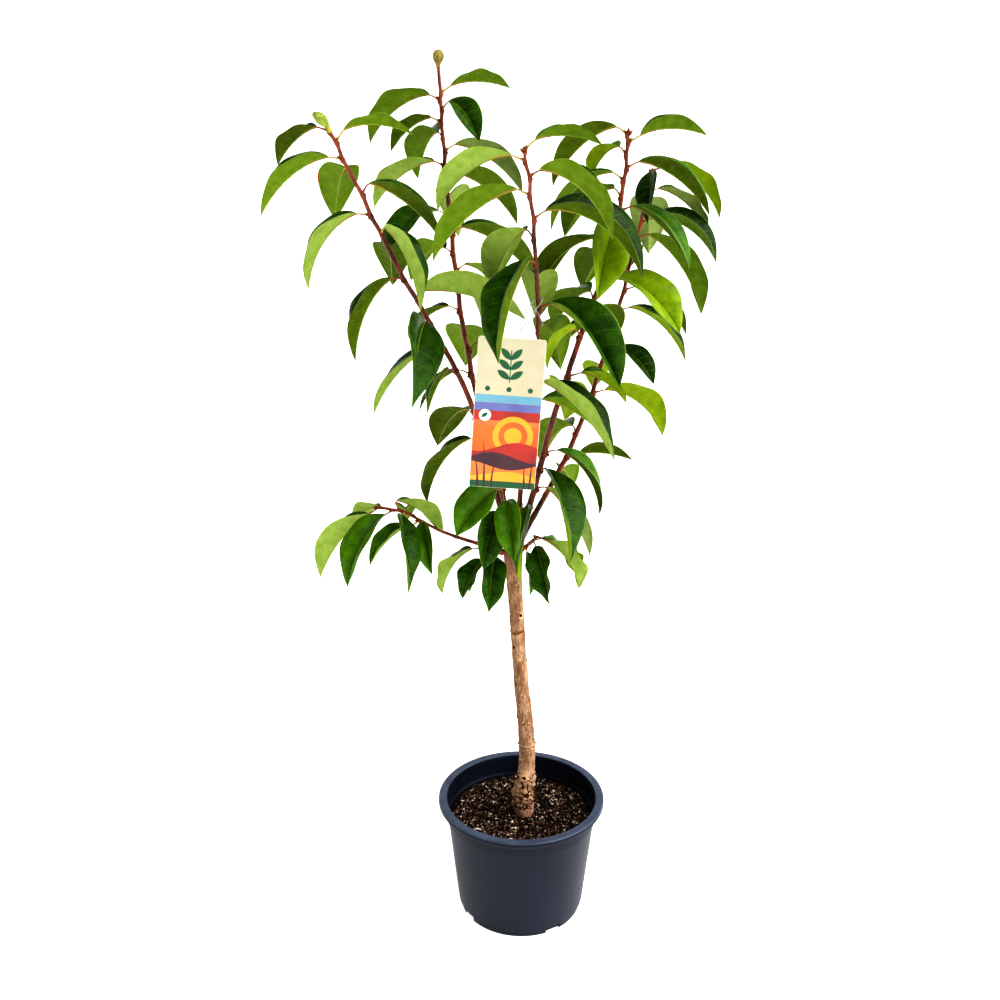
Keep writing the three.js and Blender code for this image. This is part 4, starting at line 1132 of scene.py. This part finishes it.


# Thread: a loop round the shoot and through the hole, its knot and a short free tail
# The white thread is coloured grey: painted shade
finish("threadWhite", "#b6b6b2", "#a6a6a2", rough=0.35, mottle=200)
spanSteps = 12
loop = smoothLine(threadRoute(), spanSteps, True)[:-1]
knotAt = loop[5 * spanSteps + 3]  # where the loop comes round the shoot's left side
tail = smoothLine([knotAt, knotAt + [5, -3, -4], knotAt + [11, -3.5, -13], knotAt + [15, -2, -25]], 8)
knot = budSkin(knotAt - [0, 0, 1.6], upward, 3.4, 1.5, plainBud, 3)
makePiece("threadLoop", [
    tube(loop, np.full(len(loop), thread["radius"]), 10, "threadWhite", True),
    tube(tail, np.linspace(thread["radius"], 0.5, len(tail)), 8, "threadWhite"),
    (*knot[:2], "threadWhite")], ["tag_thread"])
print("tag and thread made")


# Studio: a wide pale floor, a surround that is bright near the floor and dimmer above, and soft suns
studio = {"floor": 60000, "horizon": 1.08, "overhead": 0.15, "bandLow": 0.12, "bandTop": 0.4,
          "floorGlow": 0.55, "lens": 43.2, "cameraAt": [-32.1, -1565, 1220], "cameraDown": 19.64,
          "suns": [["key", [1.1, -0.38, 1.05], 3.4, 70], ["rim", [-0.6, 0.9, 0.8], 0.4, 80]]}
finish("paleFloor", "#f4f4f4", "#f6f6f6", 0.9, 0.1, mottle=2, bump=0.02)
glow = bpy.data.materials["paleFloor"].node_tree.nodes["Principled BSDF"].inputs
glow["Emission Color"].default_value = (1, 1, 1, 1)  # lit from below, like a light table
glow["Emission Strength"].default_value = studio["floorGlow"]
half = studio["floor"] / 2
corners = [(-half, -half, 0), (half, -half, 0), (half, half, 0), (-half, half, 0)]
floorPlane = addMesh("floor", [(corners, [(0, 1, 2, 3)], "paleFloor")])

world = bpy.data.worlds.new("studio")
world.use_nodes = True
nodes, link = world.node_tree.nodes, world.node_tree.links.new
direction = nodes.new("ShaderNodeTexCoord")
apart = nodes.new("ShaderNodeSeparateXYZ")
link(direction.outputs["Generated"], apart.inputs["Vector"])
band = addNode(nodes, "MapRange", {"From Min": studio["bandLow"], "From Max": studio["bandTop"],
                                   "To Min": studio["horizon"], "To Max": studio["overhead"]})
band.interpolation_type = "SMOOTHSTEP"
link(apart.outputs["Z"], band.inputs["Value"])
link(band.outputs["Result"], nodes["Background"].inputs["Strength"])
nodes["Background"].inputs["Color"].default_value = (1, 1, 1, 1)
bpy.context.scene.world = world
for name, place, power, softness in studio["suns"]:
    light = bpy.data.lights.new(name, "SUN")
    light.energy, light.angle = power, math.radians(softness)
    addObject(name, light).rotation_euler = Vector(place).to_track_quat("Z", "Y").to_euler()
bpy.context.scene.view_settings.view_transform = "Standard"
bpy.context.scene.view_settings.look = "High Contrast"

cameraData = bpy.data.cameras.new("camera")
cameraData.lens, cameraData.sensor_width = studio["lens"], 36
camera = addObject("camera", cameraData)
camera.location = np.array(studio["cameraAt"]) * mm
camera.rotation_euler = (math.radians(90 - studio["cameraDown"]), 0, 0)
bpy.context.scene.camera = camera
